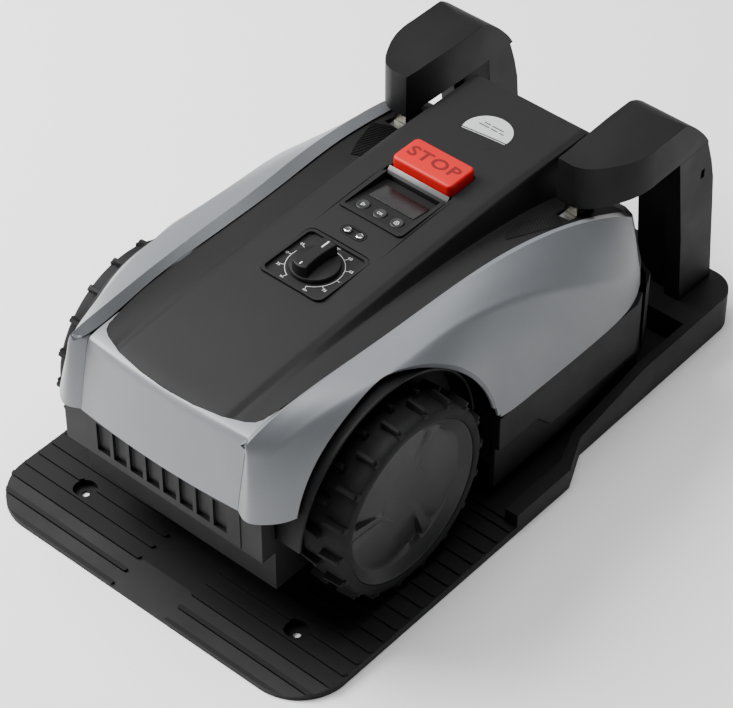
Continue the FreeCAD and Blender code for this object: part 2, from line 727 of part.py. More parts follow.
def cutterCarriage():
    body = ring(37.0, motorRadius + 0.05, 4, (0, cutterY, carriageZ), (0, 0, 1))
    body = body.fuse(ring(23.0, motorRadius + 0.05, 10, (0, cutterY, carriageZ), (0, 0, 1)))
    for x, y in spotsAround(guideCircle, 90):
        body = body.cut(rod(3.05, 20, (x, y, carriageZ - 5), (0, 0, 1)))
    return body.removeSplitter()


def bladeMotor():
    body = rod(motorRadius, 52, (0, cutterY, discZ + 25), (0, 0, 1))
    return body.cut(rod(3.05, 50, (0, cutterY, discZ + 20), (0, 0, 1)))


def cuttingDisc():
    disc = rod(discRadius, 3, (0, cutterY, discZ), (0, 0, 1))
    hub = rod(14, 9, (0, cutterY, discZ + 3), (0, 0, 1))
    shaft = rod(3.0, 50, (0, cutterY, discZ + 5), (0, 0, 1))
    body = join([disc, hub, shaft])
    for x, y in spotsAround(bladeCircle, 30):
        body = body.cut(rod(1.6, 9, (x, y, discZ - 3), (0, 0, 1)))
    return body


def blade(index):
    # razor blade, swinging on its pin under the disc
    x, y = spotsAround(bladeCircle, 30)[index]
    body = roundBox(-8, 30, -9, 9, discZ - 0.5 - bladeThick, discZ - 0.5, 3)
    body = body.cut(rod(2.5, 5, (0, 0, discZ - 4), (0, 0, 1)))
    body.rotate(V(0, 0, 0), V(0, 0, 1), 30 + 120 * index)
    body.translate(V(x, y, 0))
    return body


def bladePins():
    pins = []
    for x, y in spotsAround(bladeCircle, 30):
        head = rod(4.2, 1.2, (x, y, discZ - 3.0), (0, 0, 1))
        collar = rod(2.45, 1.8, (x, y, discZ - 1.8), (0, 0, 1))
        pins.append(join([head, collar, rod(1.55, 5, (x, y, discZ - 1.0), (0, 0, 1))]))
    return Part.makeCompound(pins)


# ---------------------------------------------------------------- wheels

def tyre(side):
    inner = wheelOuter - wheelWidth
    body = ring(treadRadius, 90, wheelWidth, (inner, wheelY, wheelZ), (1, 0, 0))
    edges = [e for e in body.Edges if abs(e.BoundBox.YLength - 2 * treadRadius) < 0.1 and e.BoundBox.XLength < 0.1]
    body = body.makeFillet(4.0, edges)
    count = 18
    lugs = []
    for k in range(count):
        for row in (0, 1):
            turn = 360.0 / count * (k + 0.5 * row)
            x0 = inner + 3.0 + row * 24.0
            lug = box(x0, x0 + 22.0, -2.6, 2.6, treadRadius - 3, wheelRadius)
            lug.rotate(V(0, 0, 0), V(1, 0, 0), turn)
            lug.translate(V(0, wheelY, wheelZ))
            lugs.append(lug)
    body = body.fuse(lugs).removeSplitter()
    return body if side > 0 else flipX(body)


def hub(side):
    inner = wheelOuter - wheelWidth
    rim = ring(89.9, 84, wheelWidth - 4, (inner + 2, wheelY, wheelZ), (1, 0, 0))
    face = rod(85, 6, (wheelOuter - 12, wheelY, wheelZ), (1, 0, 0))
    boss = rod(30, 30, (wheelOuter - 40, wheelY, wheelZ), (1, 0, 0))
    body = join([rim, face, boss])
    axle = rod(6.0, 70, (wheelOuter - 100, wheelY, wheelZ), (1, 0, 0))
    body = body.fuse(axle).removeSplitter()
    return body if side > 0 else flipX(body)


casterAxleY = casterY - casterTrail
casterAxleZ = plateTop + 0.3 + casterRadius


def casterFork(side):
    x = side * casterX
    crownZ = casterBayZ - 8.0
    stem = rod(8.0, 34, (x, casterY, crownZ), (0, 0, 1))
    crown = box(x - 20, x + 20, casterAxleY - 8, casterY + 9, crownZ, crownZ + 6.0)
    arms = []
    for s in (-1, 1):
        x0 = x + s * 18.0 - 2.0
        arms.append(prism([(casterAxleY - 8, casterAxleZ - 8), (casterAxleY + 8, casterAxleZ - 8),
                           (casterY + 9, crownZ), (casterAxleY - 8, crownZ)], "x", x0, 4.0))
    body = join([stem, crown] + arms)
    return body.cut(casterAxle(side))


def casterAxle(side):
    return rod(3.0, 39.8, (side * casterX - 19.9, casterAxleY, casterAxleZ), (1, 0, 0))


def casterWheel(side):
    x = side * casterX
    body = rod(casterRadius, 28, (x - 14, casterAxleY, casterAxleZ), (1, 0, 0))
    rims = [e for e in body.Edges if e.BoundBox.XLength < 0.1]
    body = body.makeFillet(7.0, rims)
    return body.cut(rod(3.1, 60, (x - 30, casterAxleY, casterAxleZ), (1, 0, 0)))


def save(name, shape):
    shape.exportStep("parts/" + name + ".step")
    print(name, "valid" if shape.isValid() else "NOT VALID", len(shape.Solids), round(shape.Volume))


def main():
    save("dock_base", dockBase())
    for word, side in (("left", -1), ("right", 1)):
        save("dock_post_" + word, armPost(side))
        save("dock_arm_" + word, armHead(side))
        save("charge_contacts_" + word, chargePins(side))
        save("side_shell_" + word, shell(side))
        save("side_skirt_" + word, sideSkirt(side))
        save("wheel_arch_liner_" + word, wheelArchLiner(side))
        save("gear_motor_" + word, gearMotor(side))
        save("drive_tyre_" + word, tyre(side))
        save("drive_hub_" + word, hub(side))
        save("caster_fork_" + word, casterFork(side))
        save("caster_axle_" + word, casterAxle(side))
        save("caster_wheel_" + word, casterWheel(side))
    save("contact_springs", contactSprings())
    save("dock_circuit_board", dockBoard())
    save("dock_power_inlet", powerInlet())
    save("tail_fascia", tailFascia())
    save("rear_vent_band", rearVentBand())
    save("top_cover", topCover())
    save("chassis_tub", chassisTub())
    save("chassis_lid", chassisLid())
    save("chassis_screws", chassisScrews())
    save("nose_cover", noseCover())
    save("front_bumper", frontBumper())
    save("control_panel", controlPanel())
    save("display_window", displayWindow())
    save("panel_trim_strip", panelTrim())
    save("stop_button", stopButton())
    save("stop_switch", stopSwitch())
    for name, index in (("play_button", -1), ("ok_button", 0), ("lock_button", 1)):
        save(name, panelButton(index))
    save("rain_sensor_seat", sensorSeat())
    save("rain_sensor_studs", sensorStuds())
    save("dial_plate", dialPlate())
    save("height_dial", dialKnob())
    save("charge_strips", chargeStrips())
    save("battery_pack", batteryPack())
    save("main_board", mainBoard())
    save("carriage_guide_rods", carriageGuide())
    save("cutter_carriage", cutterCarriage())
    save("blade_motor", bladeMotor())
    save("cutting_disc", cuttingDisc())
    for index in range(3):
        save("blade_" + str(index + 1), blade(index))
    save("blade_pins", bladePins())


main()
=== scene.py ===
import bpy
import bmesh
import math
import json
from mathutils import Matrix, Vector
from mathutils.bvhtree import BVHTree

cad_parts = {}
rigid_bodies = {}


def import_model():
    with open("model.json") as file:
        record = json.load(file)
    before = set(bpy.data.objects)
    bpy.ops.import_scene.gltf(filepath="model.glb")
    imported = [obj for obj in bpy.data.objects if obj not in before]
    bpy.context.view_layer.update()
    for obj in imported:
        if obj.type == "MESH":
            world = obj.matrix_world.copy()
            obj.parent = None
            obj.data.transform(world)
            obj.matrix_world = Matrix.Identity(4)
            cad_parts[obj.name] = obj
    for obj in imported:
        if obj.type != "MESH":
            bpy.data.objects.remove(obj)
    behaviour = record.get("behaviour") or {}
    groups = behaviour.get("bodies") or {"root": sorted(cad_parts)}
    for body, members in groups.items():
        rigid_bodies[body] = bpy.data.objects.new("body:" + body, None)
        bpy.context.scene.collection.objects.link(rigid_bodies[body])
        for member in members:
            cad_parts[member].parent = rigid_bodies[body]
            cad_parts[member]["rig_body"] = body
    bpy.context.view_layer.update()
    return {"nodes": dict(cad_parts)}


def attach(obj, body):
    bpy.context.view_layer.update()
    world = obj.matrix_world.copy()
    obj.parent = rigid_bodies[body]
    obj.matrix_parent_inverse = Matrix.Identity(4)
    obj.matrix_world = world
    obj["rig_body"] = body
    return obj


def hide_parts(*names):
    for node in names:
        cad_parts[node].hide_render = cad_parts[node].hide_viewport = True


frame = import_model()
nodes = frame["nodes"]
mm = 0.001


# small helpers

def hexColor(text):
    # sRGB hex to the linear values that the shaders want
    channels = [int(text[i:i + 2], 16) / 255 for i in (0, 2, 4)]
    return [c / 12.92 if c <= 0.04045 else ((c + 0.055) / 1.055) ** 2.4 for c in channels] + [1.0]


def addNode(tree, kind, settings=None, links=None):
    node = tree.nodes.new(kind)
    for key, value in (settings or {}).items():
        if isinstance(key, str) and hasattr(node, key):
            setattr(node, key, value)
        else:
            node.inputs[key].default_value = value
    for key, source in (links or {}).items():
        tree.links.new(source, node.inputs[key])
    return node


def newMaterial(name):
    material = bpy.data.materials.new(name)
    material.use_nodes = True
    material.node_tree.nodes.clear()
    return material, material.node_tree


def meshFrom(bm, name):
    mesh = bpy.data.meshes.new(name)
    bm.to_mesh(mesh)
    bm.free()
    return mesh


def linked(name, data):
    thing = bpy.data.objects.new(name, data)
    bpy.context.scene.collection.objects.link(thing)
    return thing


def shadeSmooth(bm, degrees):
    for face in bm.faces:
        face.smooth = True
    for edge in bm.edges:
        edge.smooth = len(edge.link_faces) == 2 and edge.calc_face_angle(0) < math.radians(degrees)


def softEdges(piece, widthMm, degrees):
    bevel = piece.modifiers.new("edges", "BEVEL")
    bevel.limit_method = "ANGLE"
    bevel.angle_limit = math.radians(degrees)
    bevel.width = widthMm * mm
    bevel.segments = 2
    bevel.use_clamp_overlap = True
    return bevel


def mouldedSurface(name, finish):
    # grain as bump and faint specks, with a slow drift in colour and in roughness
    material, tree = newMaterial(name)
    place = addNode(tree, "ShaderNodeTexCoord").outputs["Object"]
    grain = addNode(tree, "ShaderNodeTexNoise",
                    {"Scale": 1 / (finish["grainMm"] * mm), "Detail": 3.0, "Roughness": 0.6}, {"Vector": place})
    drift = addNode(tree, "ShaderNodeTexNoise",
                    {"Scale": 1 / (finish["driftMm"] * mm), "Detail": 4.0, "Roughness": 0.55},
                    {"Vector": place})
    tone = addNode(tree, "ShaderNodeMapRange",
                   {"From Min": 0.3, "From Max": 0.7, "To Min": 0.0, "To Max": 1.0}, {"Value": drift.outputs["Fac"]})
    colour = addNode(tree, "ShaderNodeMix", {"data_type": "RGBA"}, {0: tone.outputs[0]})
    colour.inputs[6].default_value = hexColor(finish["colour"])
    colour.inputs[7].default_value = hexColor(finish["colourDrift"])
    speck = addNode(tree, "ShaderNodeMapRange",
                    {"From Min": 0.35, "From Max": 0.65, "To Min": 1 - finish["speckle"],
                     "To Max": 1 + finish["speckle"]}, {"Value": grain.outputs["Fac"]})
    shade = addNode(tree, "ShaderNodeVectorMath", {"operation": "SCALE"},
                    {0: colour.outputs[2], "Scale": speck.outputs[0]})
    gloss = addNode(tree, "ShaderNodeMapRange",
                    {"From Min": 0.3, "From Max": 0.7, "To Min": finish["roughness"][0],
                     "To Max": finish["roughness"][1]}, {"Value": drift.outputs["Fac"]})
    bump = addNode(tree, "ShaderNodeBump", {"Strength": finish["bump"], "Distance": finish["depthMm"] * mm},
                   {"Height": grain.outputs["Fac"]})
    shader = addNode(tree, "ShaderNodeBsdfPrincipled",
                     {"Metallic": finish.get("metallic", 0.0), "Coat Weight": finish.get("coat", 0.0),
                      "Coat Roughness": finish.get("coatRoughness", 0.1)},
                     {"Base Color": shade.outputs[0], "Roughness": gloss.outputs[0], "Normal": bump.outputs[0]})
    if "ior" in finish:
        shader.inputs["IOR"].default_value = finish["ior"]
    addNode(tree, "ShaderNodeOutputMaterial", {}, {"Surface": shader.outputs[0]})
    return material


def brushedSurface(name, finish):
    # scratches run along one axis: the noise is stretched that way
    material, tree = newMaterial(name)
    place = addNode(tree, "ShaderNodeTexCoord").outputs["Object"]
    stretch = addNode(tree, "ShaderNodeMapping", {"Scale": finish["stretch"]}, {"Vector": place})
    scratch = addNode(tree, "ShaderNodeTexNoise", {"Scale": 1 / (finish["scratchMm"] * mm), "Detail": 4.0},
                      {"Vector": stretch.outputs[0]})
    gloss = addNode(tree, "ShaderNodeMapRange", {"To Min": finish["roughness"][0], "To Max": finish["roughness"][1]},
                    {"Value": scratch.outputs["Fac"]})
    bump = addNode(tree, "ShaderNodeBump", {"Strength": 0.15, "Distance": 0.05 * mm},
                   {"Height": scratch.outputs["Fac"]})
    shader = addNode(tree, "ShaderNodeBsdfPrincipled",
                     {"Base Color": hexColor(finish["colour"]), "Metallic": 1.0},
                     {"Roughness": gloss.outputs[0], "Normal": bump.outputs[0]})
    addNode(tree, "ShaderNodeOutputMaterial", {}, {"Surface": shader.outputs[0]})
    return material


# satin silver lacquer sprayed on ABS: soft broad highlights and a very fine flake
silverLacquer = mouldedSurface("silver lacquer on ABS, sprayed satin", {
    "colour": "797c80", "colourDrift": "75787c", "speckle": 0.03, "grainMm": 1.2, "driftMm": 90,
    "roughness": (0.38, 0.46), "bump": 0.04, "depthMm": 0.05, "metallic": 0.25, "coat": 0.1, "coatRoughness": 0.3})
# ABS from a spark-eroded mould: dull, with a grain of about 0.4 mm, drawn at 1.3 mm so that it shows
coverGrain = mouldedSurface("dark ABS, spark-eroded grain", {
    "colour": "0e0e0f", "colourDrift": "0c0c0d", "speckle": 0.10, "grainMm": 1.3, "driftMm": 110,
    "roughness": (0.56, 0.66), "bump": 0.22, "depthMm": 0.25, "ior": 1.36})
# the same plastic, moulded finer where grass rubs it: a deeper black with a softer sheen
blackGrain = mouldedSurface("black ABS, fine moulded grain", {
    "colour": "070708", "colourDrift": "060606", "speckle": 0.12, "grainMm": 1.6, "driftMm": 60,
    "roughness": (0.54, 0.66), "bump": 0.25, "depthMm": 0.25, "ior": 1.36})
# weatherproof polypropylene: waxy, a little lighter than the mower's black
dockGrain = mouldedSurface("charcoal polypropylene, moulded", {
    "colour": "0c0c0d", "colourDrift": "0a0a0b", "speckle": 0.10, "grainMm": 1.8, "driftMm": 80,
    "roughness": (0.54, 0.66), "bump": 0.25, "depthMm": 0.3, "ior": 1.32})
# red ABS with a fine satin texture: an even colour with soft highlights along the rounded rim
stopRed = mouldedSurface("red ABS, satin moulded", {
    "colour": "c00206", "colourDrift": "b80205", "speckle": 0.03, "grainMm": 1.1, "driftMm": 40,
    "roughness": (0.46, 0.52), "bump": 0.08, "depthMm": 0.1, "ior": 1.38})
# painted shade of the sunken letters: a dull, darker red, laid as a thin film on the key's flat top
stopLetterPaintedShade = mouldedSurface("red ABS, painted shade of sunken letters", {
    "colour": "6a0306", "colourDrift": "620306", "speckle": 0.06, "grainMm": 0.9, "driftMm": 20,
    "roughness": (0.6, 0.7), "bump": 0.1, "depthMm": 0.1, "ior": 1.4})
# grey ABS light strip from a smooth mould: clean and a little shiny
stripGrey = mouldedSurface("grey ABS, smooth moulded", {
    "colour": "58595a", "colourDrift": "535455", "speckle": 0.02, "grainMm": 1.5, "driftMm": 30,
    "roughness": (0.35, 0.42), "bump": 0.05, "depthMm": 0.1, "ior": 1.45})
# acrylic over the display, polished and since wiped: it mirrors what stands behind it, softly
windowBlack = mouldedSurface("black acrylic, polished and wiped", {
    "colour": "050506", "colourDrift": "060607", "speckle": 0.0, "grainMm": 4.0, "driftMm": 30,
    "roughness": (0.22, 0.3), "bump": 0.01, "depthMm": 0.02, "ior": 1.4})
# soft-touch elastomer of the buttons: dull and slightly dusty
buttonSoft = mouldedSurface("soft-touch TPE, moulded", {
    "colour": "1b1c1d", "colourDrift": "18191a", "speckle": 0.05, "grainMm": 0.9, "driftMm": 12,
    "roughness": (0.5, 0.6), "bump": 0.08, "depthMm": 0.08, "ior": 1.45})
# tyre rubber: matt, with the mould's grain and a little bloom
tyreRubber = mouldedSurface("black rubber, moulded", {
    "colour": "090a0a", "colourDrift": "0e0e0f", "speckle": 0.12, "grainMm": 2.0, "driftMm": 35,
    "roughness": (0.66, 0.8), "bump": 0.3, "depthMm": 0.3, "ior": 1.33})
# glass-filled nylon of the wheel's disc: smoother than the tyre, so its relief catches the light
hubGrain = mouldedSurface("dark nylon, moulded", {
    "colour": "0e0f10", "colourDrift": "0c0c0d", "speckle": 0.06, "grainMm": 1.6, "driftMm": 60,
    "roughness": (0.36, 0.48), "bump": 0.12, "depthMm": 0.2, "ior": 1.45})
# white ink pushed through a screen: flat and opaque, a touch uneven
whiteInk = mouldedSurface("white ink, screen printed", {
    "colour": "d2d2d0", "colourDrift": "c6c6c4", "speckle": 0.04, "grainMm": 0.6, "driftMm": 10,
    "roughness": (0.5, 0.6), "bump": 0.03, "depthMm": 0.03})
# label stock with a satin silver face: a pale even field
labelFilm = mouldedSurface("silver polyester film, printed", {
    "colour": "b9babb", "colourDrift": "b1b2b3", "speckle": 0.02, "grainMm": 1.0, "driftMm": 15,
    "roughness": (0.36, 0.44), "bump": 0.03, "depthMm": 0.03})
# the label's small print, drawn as plain bars of flat dark grey
inkGrey = mouldedSurface("grey ink, screen printed", {
    "colour": "3c3d3f", "colourDrift": "38393b", "speckle": 0.03, "grainMm": 0.6, "driftMm": 10,
    "roughness": (0.5, 0.6), "bump": 0.03, "depthMm": 0.03})
# circuit boards under solder resist: a glossy mottled green
boardGreen = mouldedSurface("glass-fibre board, green solder resist", {
    "colour": "1c5a36", "colourDrift": "18502f", "speckle": 0.08, "grainMm": 0.8, "driftMm": 10,
    "roughness": (0.3, 0.4), "bump": 0.1, "depthMm": 0.05, "coat": 0.3})
# sleeve shrunk over the cells: thin shiny plastic with slight ripples
batterySleeve = mouldedSurface("blue PVC sleeve, heat shrunk", {
    "colour": "1f3a6b", "colourDrift": "1b3461", "speckle": 0.03, "grainMm": 1.4, "driftMm": 25,
    "roughness": (0.25, 0.35), "bump": 0.1, "depthMm": 0.3})
# motor and gear cases as they leave the die: pale, cloudy and slightly pitted
castAlloy = mouldedSurface("aluminium, die cast", {
    "colour": "a9abad", "colourDrift": "9ea0a2", "speckle": 0.06, "grainMm": 1.2, "driftMm": 20,
    "roughness": (0.42, 0.55), "bump": 0.2, "depthMm": 0.15, "metallic": 1.0})
# sensor studs off the lathe, polished: small bright spots with faint rings
polishedSteel = brushedSurface("stainless steel, turned and polished", {
    "colour": "d6d6d4", "stretch": (1, 8, 8), "scratchMm": 0.8, "roughness": (0.12, 0.22)})
# axles, screws, rods and blades with a ground face: grey with long fine scratches
groundSteel = brushedSurface("steel, ground", {
    "colour": "b9b9b7", "stretch": (1, 10, 10), "scratchMm": 1.0, "roughness": (0.25, 0.4)})
# the dock's contacts are plated and rubbed by every docking: dull warm grey, streaked upright
platedBrass = brushedSurface("brass, nickel plated and rubbed", {
    "colour": "5d5a52", "stretch": (10, 10, 1), "scratchMm": 0.8, "roughness": (0.3, 0.42)})
print("materials made")


# CAD pieces with their edges rounded and their curves shaded smooth

def refined(nodeName, pieceName, material, edgeMm, sharpDeg=32):
    source = nodes[nodeName]
    bm = bmesh.new()
    bm.from_mesh(source.data)
    bmesh.ops.remove_doubles(bm, verts=bm.verts[:], dist=0.004 * mm)
    bmesh.ops.dissolve_limit(bm, angle_limit=math.radians(0.4), verts=bm.verts[:], edges=bm.edges[:],
                             delimit={"NORMAL"})
    shadeSmooth(bm, sharpDeg)
    piece = linked(pieceName, meshFrom(bm, pieceName))
    piece.data.materials.append(material)
    if edgeMm:
        softEdges(piece, edgeMm, sharpDeg).harden_normals = True
    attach(piece, source["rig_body"])
    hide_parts(nodeName)
    return piece


# CAD node, piece, material and rounding in millimetres; a node ending in an underscore has a left and a right
refinedPieces = [
    ("dock_base", "dockPlate", dockGrain, 0.8), ("dock_post_", "armPost", dockGrain, 1.2),
    ("dock_arm_", "armHead", dockGrain, 2.0), ("charge_contacts_", "chargeContacts", platedBrass, 0.3),
    ("contact_springs", "contactSprings", groundSteel, 0), ("dock_circuit_board", "dockBoard", boardGreen, 0.2),
    ("dock_power_inlet", "powerInlet", blackGrain, 0.5), ("rear_vent_band", "ventBand", blackGrain, 0.5),
    ("chassis_tub", "chassisTub", blackGrain, 0.5), ("chassis_lid", "chassisLid", blackGrain, 0.4),
    ("chassis_screws", "chassisScrews", groundSteel, 0.2), ("nose_cover", "noseCap", blackGrain, 1.5),
    ("front_bumper", "frontBumper", blackGrain, 1.5), ("control_panel", "controlPanel", coverGrain, 0.25),
    ("stop_switch", "stopSwitch", blackGrain, 0.5), ("display_window", "displayWindow", windowBlack, 0.2),
    ("rain_sensor_seat", "sensorSeat", blackGrain, 0.3), ("rain_sensor_studs", "sensorStuds", polishedSteel, 0),
    ("dial_plate", "dialPlate", coverGrain, 0.3), ("charge_strips", "chargeStrips", groundSteel, 0.3),
    ("battery_pack", "batteryPack", batterySleeve, 1.0), ("main_board", "mainBoard", boardGreen, 0.2),
    ("carriage_guide_rods", "guideRods", groundSteel, 0.3), ("cutter_carriage", "cutterCarriage", blackGrain, 0.4),
    ("blade_motor", "bladeMotor", castAlloy, 0.8), ("cutting_disc", "cuttingDisc", blackGrain, 0.5),
    ("blade_1", "bladeOne", groundSteel, 0.1), ("blade_2", "bladeTwo", groundSteel, 0.1),
    ("blade_3", "bladeThree", groundSteel, 0.1), ("blade_pins", "bladePins", groundSteel, 0.2),
    ("side_skirt_", "skirt", blackGrain, 1.2), ("wheel_arch_liner_", "archLiner", blackGrain, 0.5),
    ("gear_motor_", "gearMotor", castAlloy, 0.8), ("caster_fork_", "casterFork", blackGrain, 0.6),
    ("caster_axle_", "casterAxle", groundSteel, 0.3), ("caster_wheel_", "casterWheel", tyreRubber, 0.5),
]
for nodeStart, pieceStart, material, edgeMm in refinedPieces:
    for word in ("Left", "Right") if nodeStart.endswith("_") else ("",):
        nodeName = nodeStart + word.lower()
        refined(nodeName, pieceStart + word, material, edgeMm)
print("CAD pieces refined")


# small modelling helpers

def finishMesh(bm, name, material, body, smoothDeg=35, turnOut=True):
    if turnOut:
        bmesh.ops.remove_doubles(bm, verts=bm.verts[:], dist=0.002 * mm)
        bmesh.ops.recalc_face_normals(bm, faces=bm.faces[:])
    shadeSmooth(bm, smoothDeg)
    piece = linked(name, meshFrom(bm, name))
    piece.data.materials.append(material)
    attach(piece, body)
    return piece


def openMesh(piece):
    bm = bmesh.new()
    bm.from_mesh(piece.data)
    return bm


def closeMesh(bm, piece):
    bm.to_mesh(piece.data)
    bm.free()


def vertsOf(made):
    return [g for g in made["geom"] if isinstance(g, bmesh.types.BMVert)]


def addBox(bm, size, middle=(0, 0, 0)):
    verts = bmesh.ops.create_cube(bm, size=1.0)["verts"]
    bmesh.ops.scale(bm, vec=Vector(size) * mm, verts=verts)
    moveBy(bm, verts, *middle)
    return verts


def moveBy(bm, verts, x, y, z):
    bmesh.ops.translate(bm, vec=Vector((x, y, z)) * mm, verts=verts)


def bevelEdges(bm, edges, offsetMm, segments):
    bmesh.ops.bevel(bm, geom=edges, offset=offsetMm * mm, offset_type="OFFSET", segments=segments, profile=0.5,
                    affect="EDGES", material=-1)


def addRod(bm, radius, length, steps):
    return bmesh.ops.create_cone(bm, cap_ends=True, segments=steps, radius1=radius * mm, radius2=radius * mm,
                                 depth=length * mm)["verts"]


def turnAbout(bm, verts, degrees, axis):
    bmesh.ops.rotate(bm, cent=(0, 0, 0), matrix=Matrix.Rotation(math.radians(degrees), 3, axis), verts=verts)


def bridgeRows(bm, rows):
    for first, second in zip(rows, rows[1:]):
        bmesh.ops.bridge_loops(bm, edges=first + second)


def spun(bm, profile, steps):
    # a profile of (radius, height) turned about the upright axis
    verts = [bm.verts.new((r * mm, 0, z * mm)) for r, z in profile]
    edges = [bm.edges.new((a, b)) for a, b in zip(verts, verts[1:])]
    bmesh.ops.spin(bm, geom=verts + edges, cent=(0, 0, 0), axis=(0, 0, 1), angle=math.tau, steps=steps,
                   use_merge=True)


def textMesh(words, size, depth, bold=0.0, spacing=1.0):
    # letters as a closed mesh, lying in XY and centred on the origin
    curve = bpy.data.curves.new("letters", "FONT")
    curve.body = words
    curve.size = size
    curve.extrude = depth / 2
    curve.offset = bold
    curve.space_character = spacing
    curve.align_x = "CENTER"
    curve.align_y = "CENTER"
    curve.resolution_u = 4
    holder = linked("letters", curve)
    bpy.context.view_layer.update()
    mesh = bpy.data.meshes.new_from_object(holder.evaluated_get(bpy.context.evaluated_depsgraph_get()))
    bpy.data.objects.remove(holder)
    bm = bmesh.new()
    bm.from_mesh(mesh)
    bmesh.ops.remove_doubles(bm, verts=bm.verts[:], dist=0.001 * mm)
    bmesh.ops.recalc_face_normals(bm, faces=bm.faces[:])
    bm.to_mesh(mesh)
    bm.free()
    return mesh


def roundedBlock(bm, size, middle, cornerMm, edgeMm):
    # a block whose upright corners are rounded, then the edges of its top
    addBox(bm, size, middle)
    upright = [e for e in bm.edges if abs((e.verts[0].co - e.verts[1].co).normalized().z) > 0.99]
    bevelEdges(bm, upright, cornerMm, 6)
    top = max(v.co.z for v in bm.verts)
    rim = [e for e in bm.edges if all(abs(v.co.z - top) < 0.01 * mm for v in e.verts)]
    bevelEdges(bm, rim, edgeMm, 4)


# skins made from cross-sections: the sections are bridged, then smoothed between their creases

def bakeModifiers(piece):
    bpy.context.view_layer.update()
    mesh = bpy.data.meshes.new_from_object(piece.evaluated_get(bpy.context.evaluated_depsgraph_get()))
    piece.modifiers.clear()
    piece.data = mesh


def thickSkin(name, sections, creases, wallMm, axis, sign=1):
    # sections: lists of (x, y, z) in millimetres with equal counts; creases: index along a section to sharpness;
    # the outside looks along the axis, and the wall grows inwards
    bm = bmesh.new()
    rows = []
    for section in sections:
        verts = [bm.verts.new(Vector(p) * mm) for p in section]
        rows.append([bm.edges.new((a, b)) for a, b in zip(verts, verts[1:])])
    bridgeRows(bm, rows)
    bm.verts.index_update()
    count = len(sections[0])
    layer = bm.edges.layers.float.new("crease_edge")
    for edge in bm.edges:
        a, b = (v.index % count for v in edge.verts)
        if a == b and a in creases:
            edge[layer] = creases[a]
    bmesh.ops.recalc_face_normals(bm, faces=bm.faces[:])
    piece = linked(name, meshFrom(bm, name))
    smooth = piece.modifiers.new("smooth", "SUBSURF")
    smooth.levels = smooth.render_levels = 3
    smooth.boundary_smooth = "PRESERVE_CORNERS"
    bakeModifiers(piece)
    bm = openMesh(piece)
    if sum(sign * f.normal[axis] * f.calc_area() for f in bm.faces) < 0:
        bmesh.ops.reverse_faces(bm, faces=bm.faces[:])
    closeMesh(bm, piece)
    wall = piece.modifiers.new("wall", "SOLIDIFY")
    wall.thickness = wallMm * mm
    wall.offset = -1.0
    bakeModifiers(piece)
    return piece


def cutWith(piece, cutterMesh, keep="DIFFERENCE"):
    cutter = linked("cutter", cutterMesh)
    cut = piece.modifiers.new("cut", "BOOLEAN")
    cut.operation = keep
    cut.object = cutter
    cut.solver = "EXACT"
    bakeModifiers(piece)
    bpy.data.objects.remove(cutter)


def shadeByAngle(piece, degrees, material):
    bm = openMesh(piece)
    shadeSmooth(bm, degrees)
    closeMesh(bm, piece)
    piece.data.materials.clear()
    piece.data.materials.append(material)


def prismCutter(bm, plan, low, high=300.0):
    # an upright prism over a plan outline in millimetres; it ends above the mower
    face = bm.faces.new([bm.verts.new(Vector((x, y, low)) * mm) for x, y in plan])
    raised = bmesh.ops.extrude_face_region(bm, geom=[face])
    moveBy(bm, vertsOf(raised), 0, 0, high - low)
    bmesh.ops.recalc_face_normals(bm, faces=bm.faces[:])


def cutPrism(piece, plan, low, keep="DIFFERENCE"):
    tool = bmesh.new()
    prismCutter(tool, plan, low)
    cutWith(piece, meshFrom(tool, "prism"), keep)


# silver shells

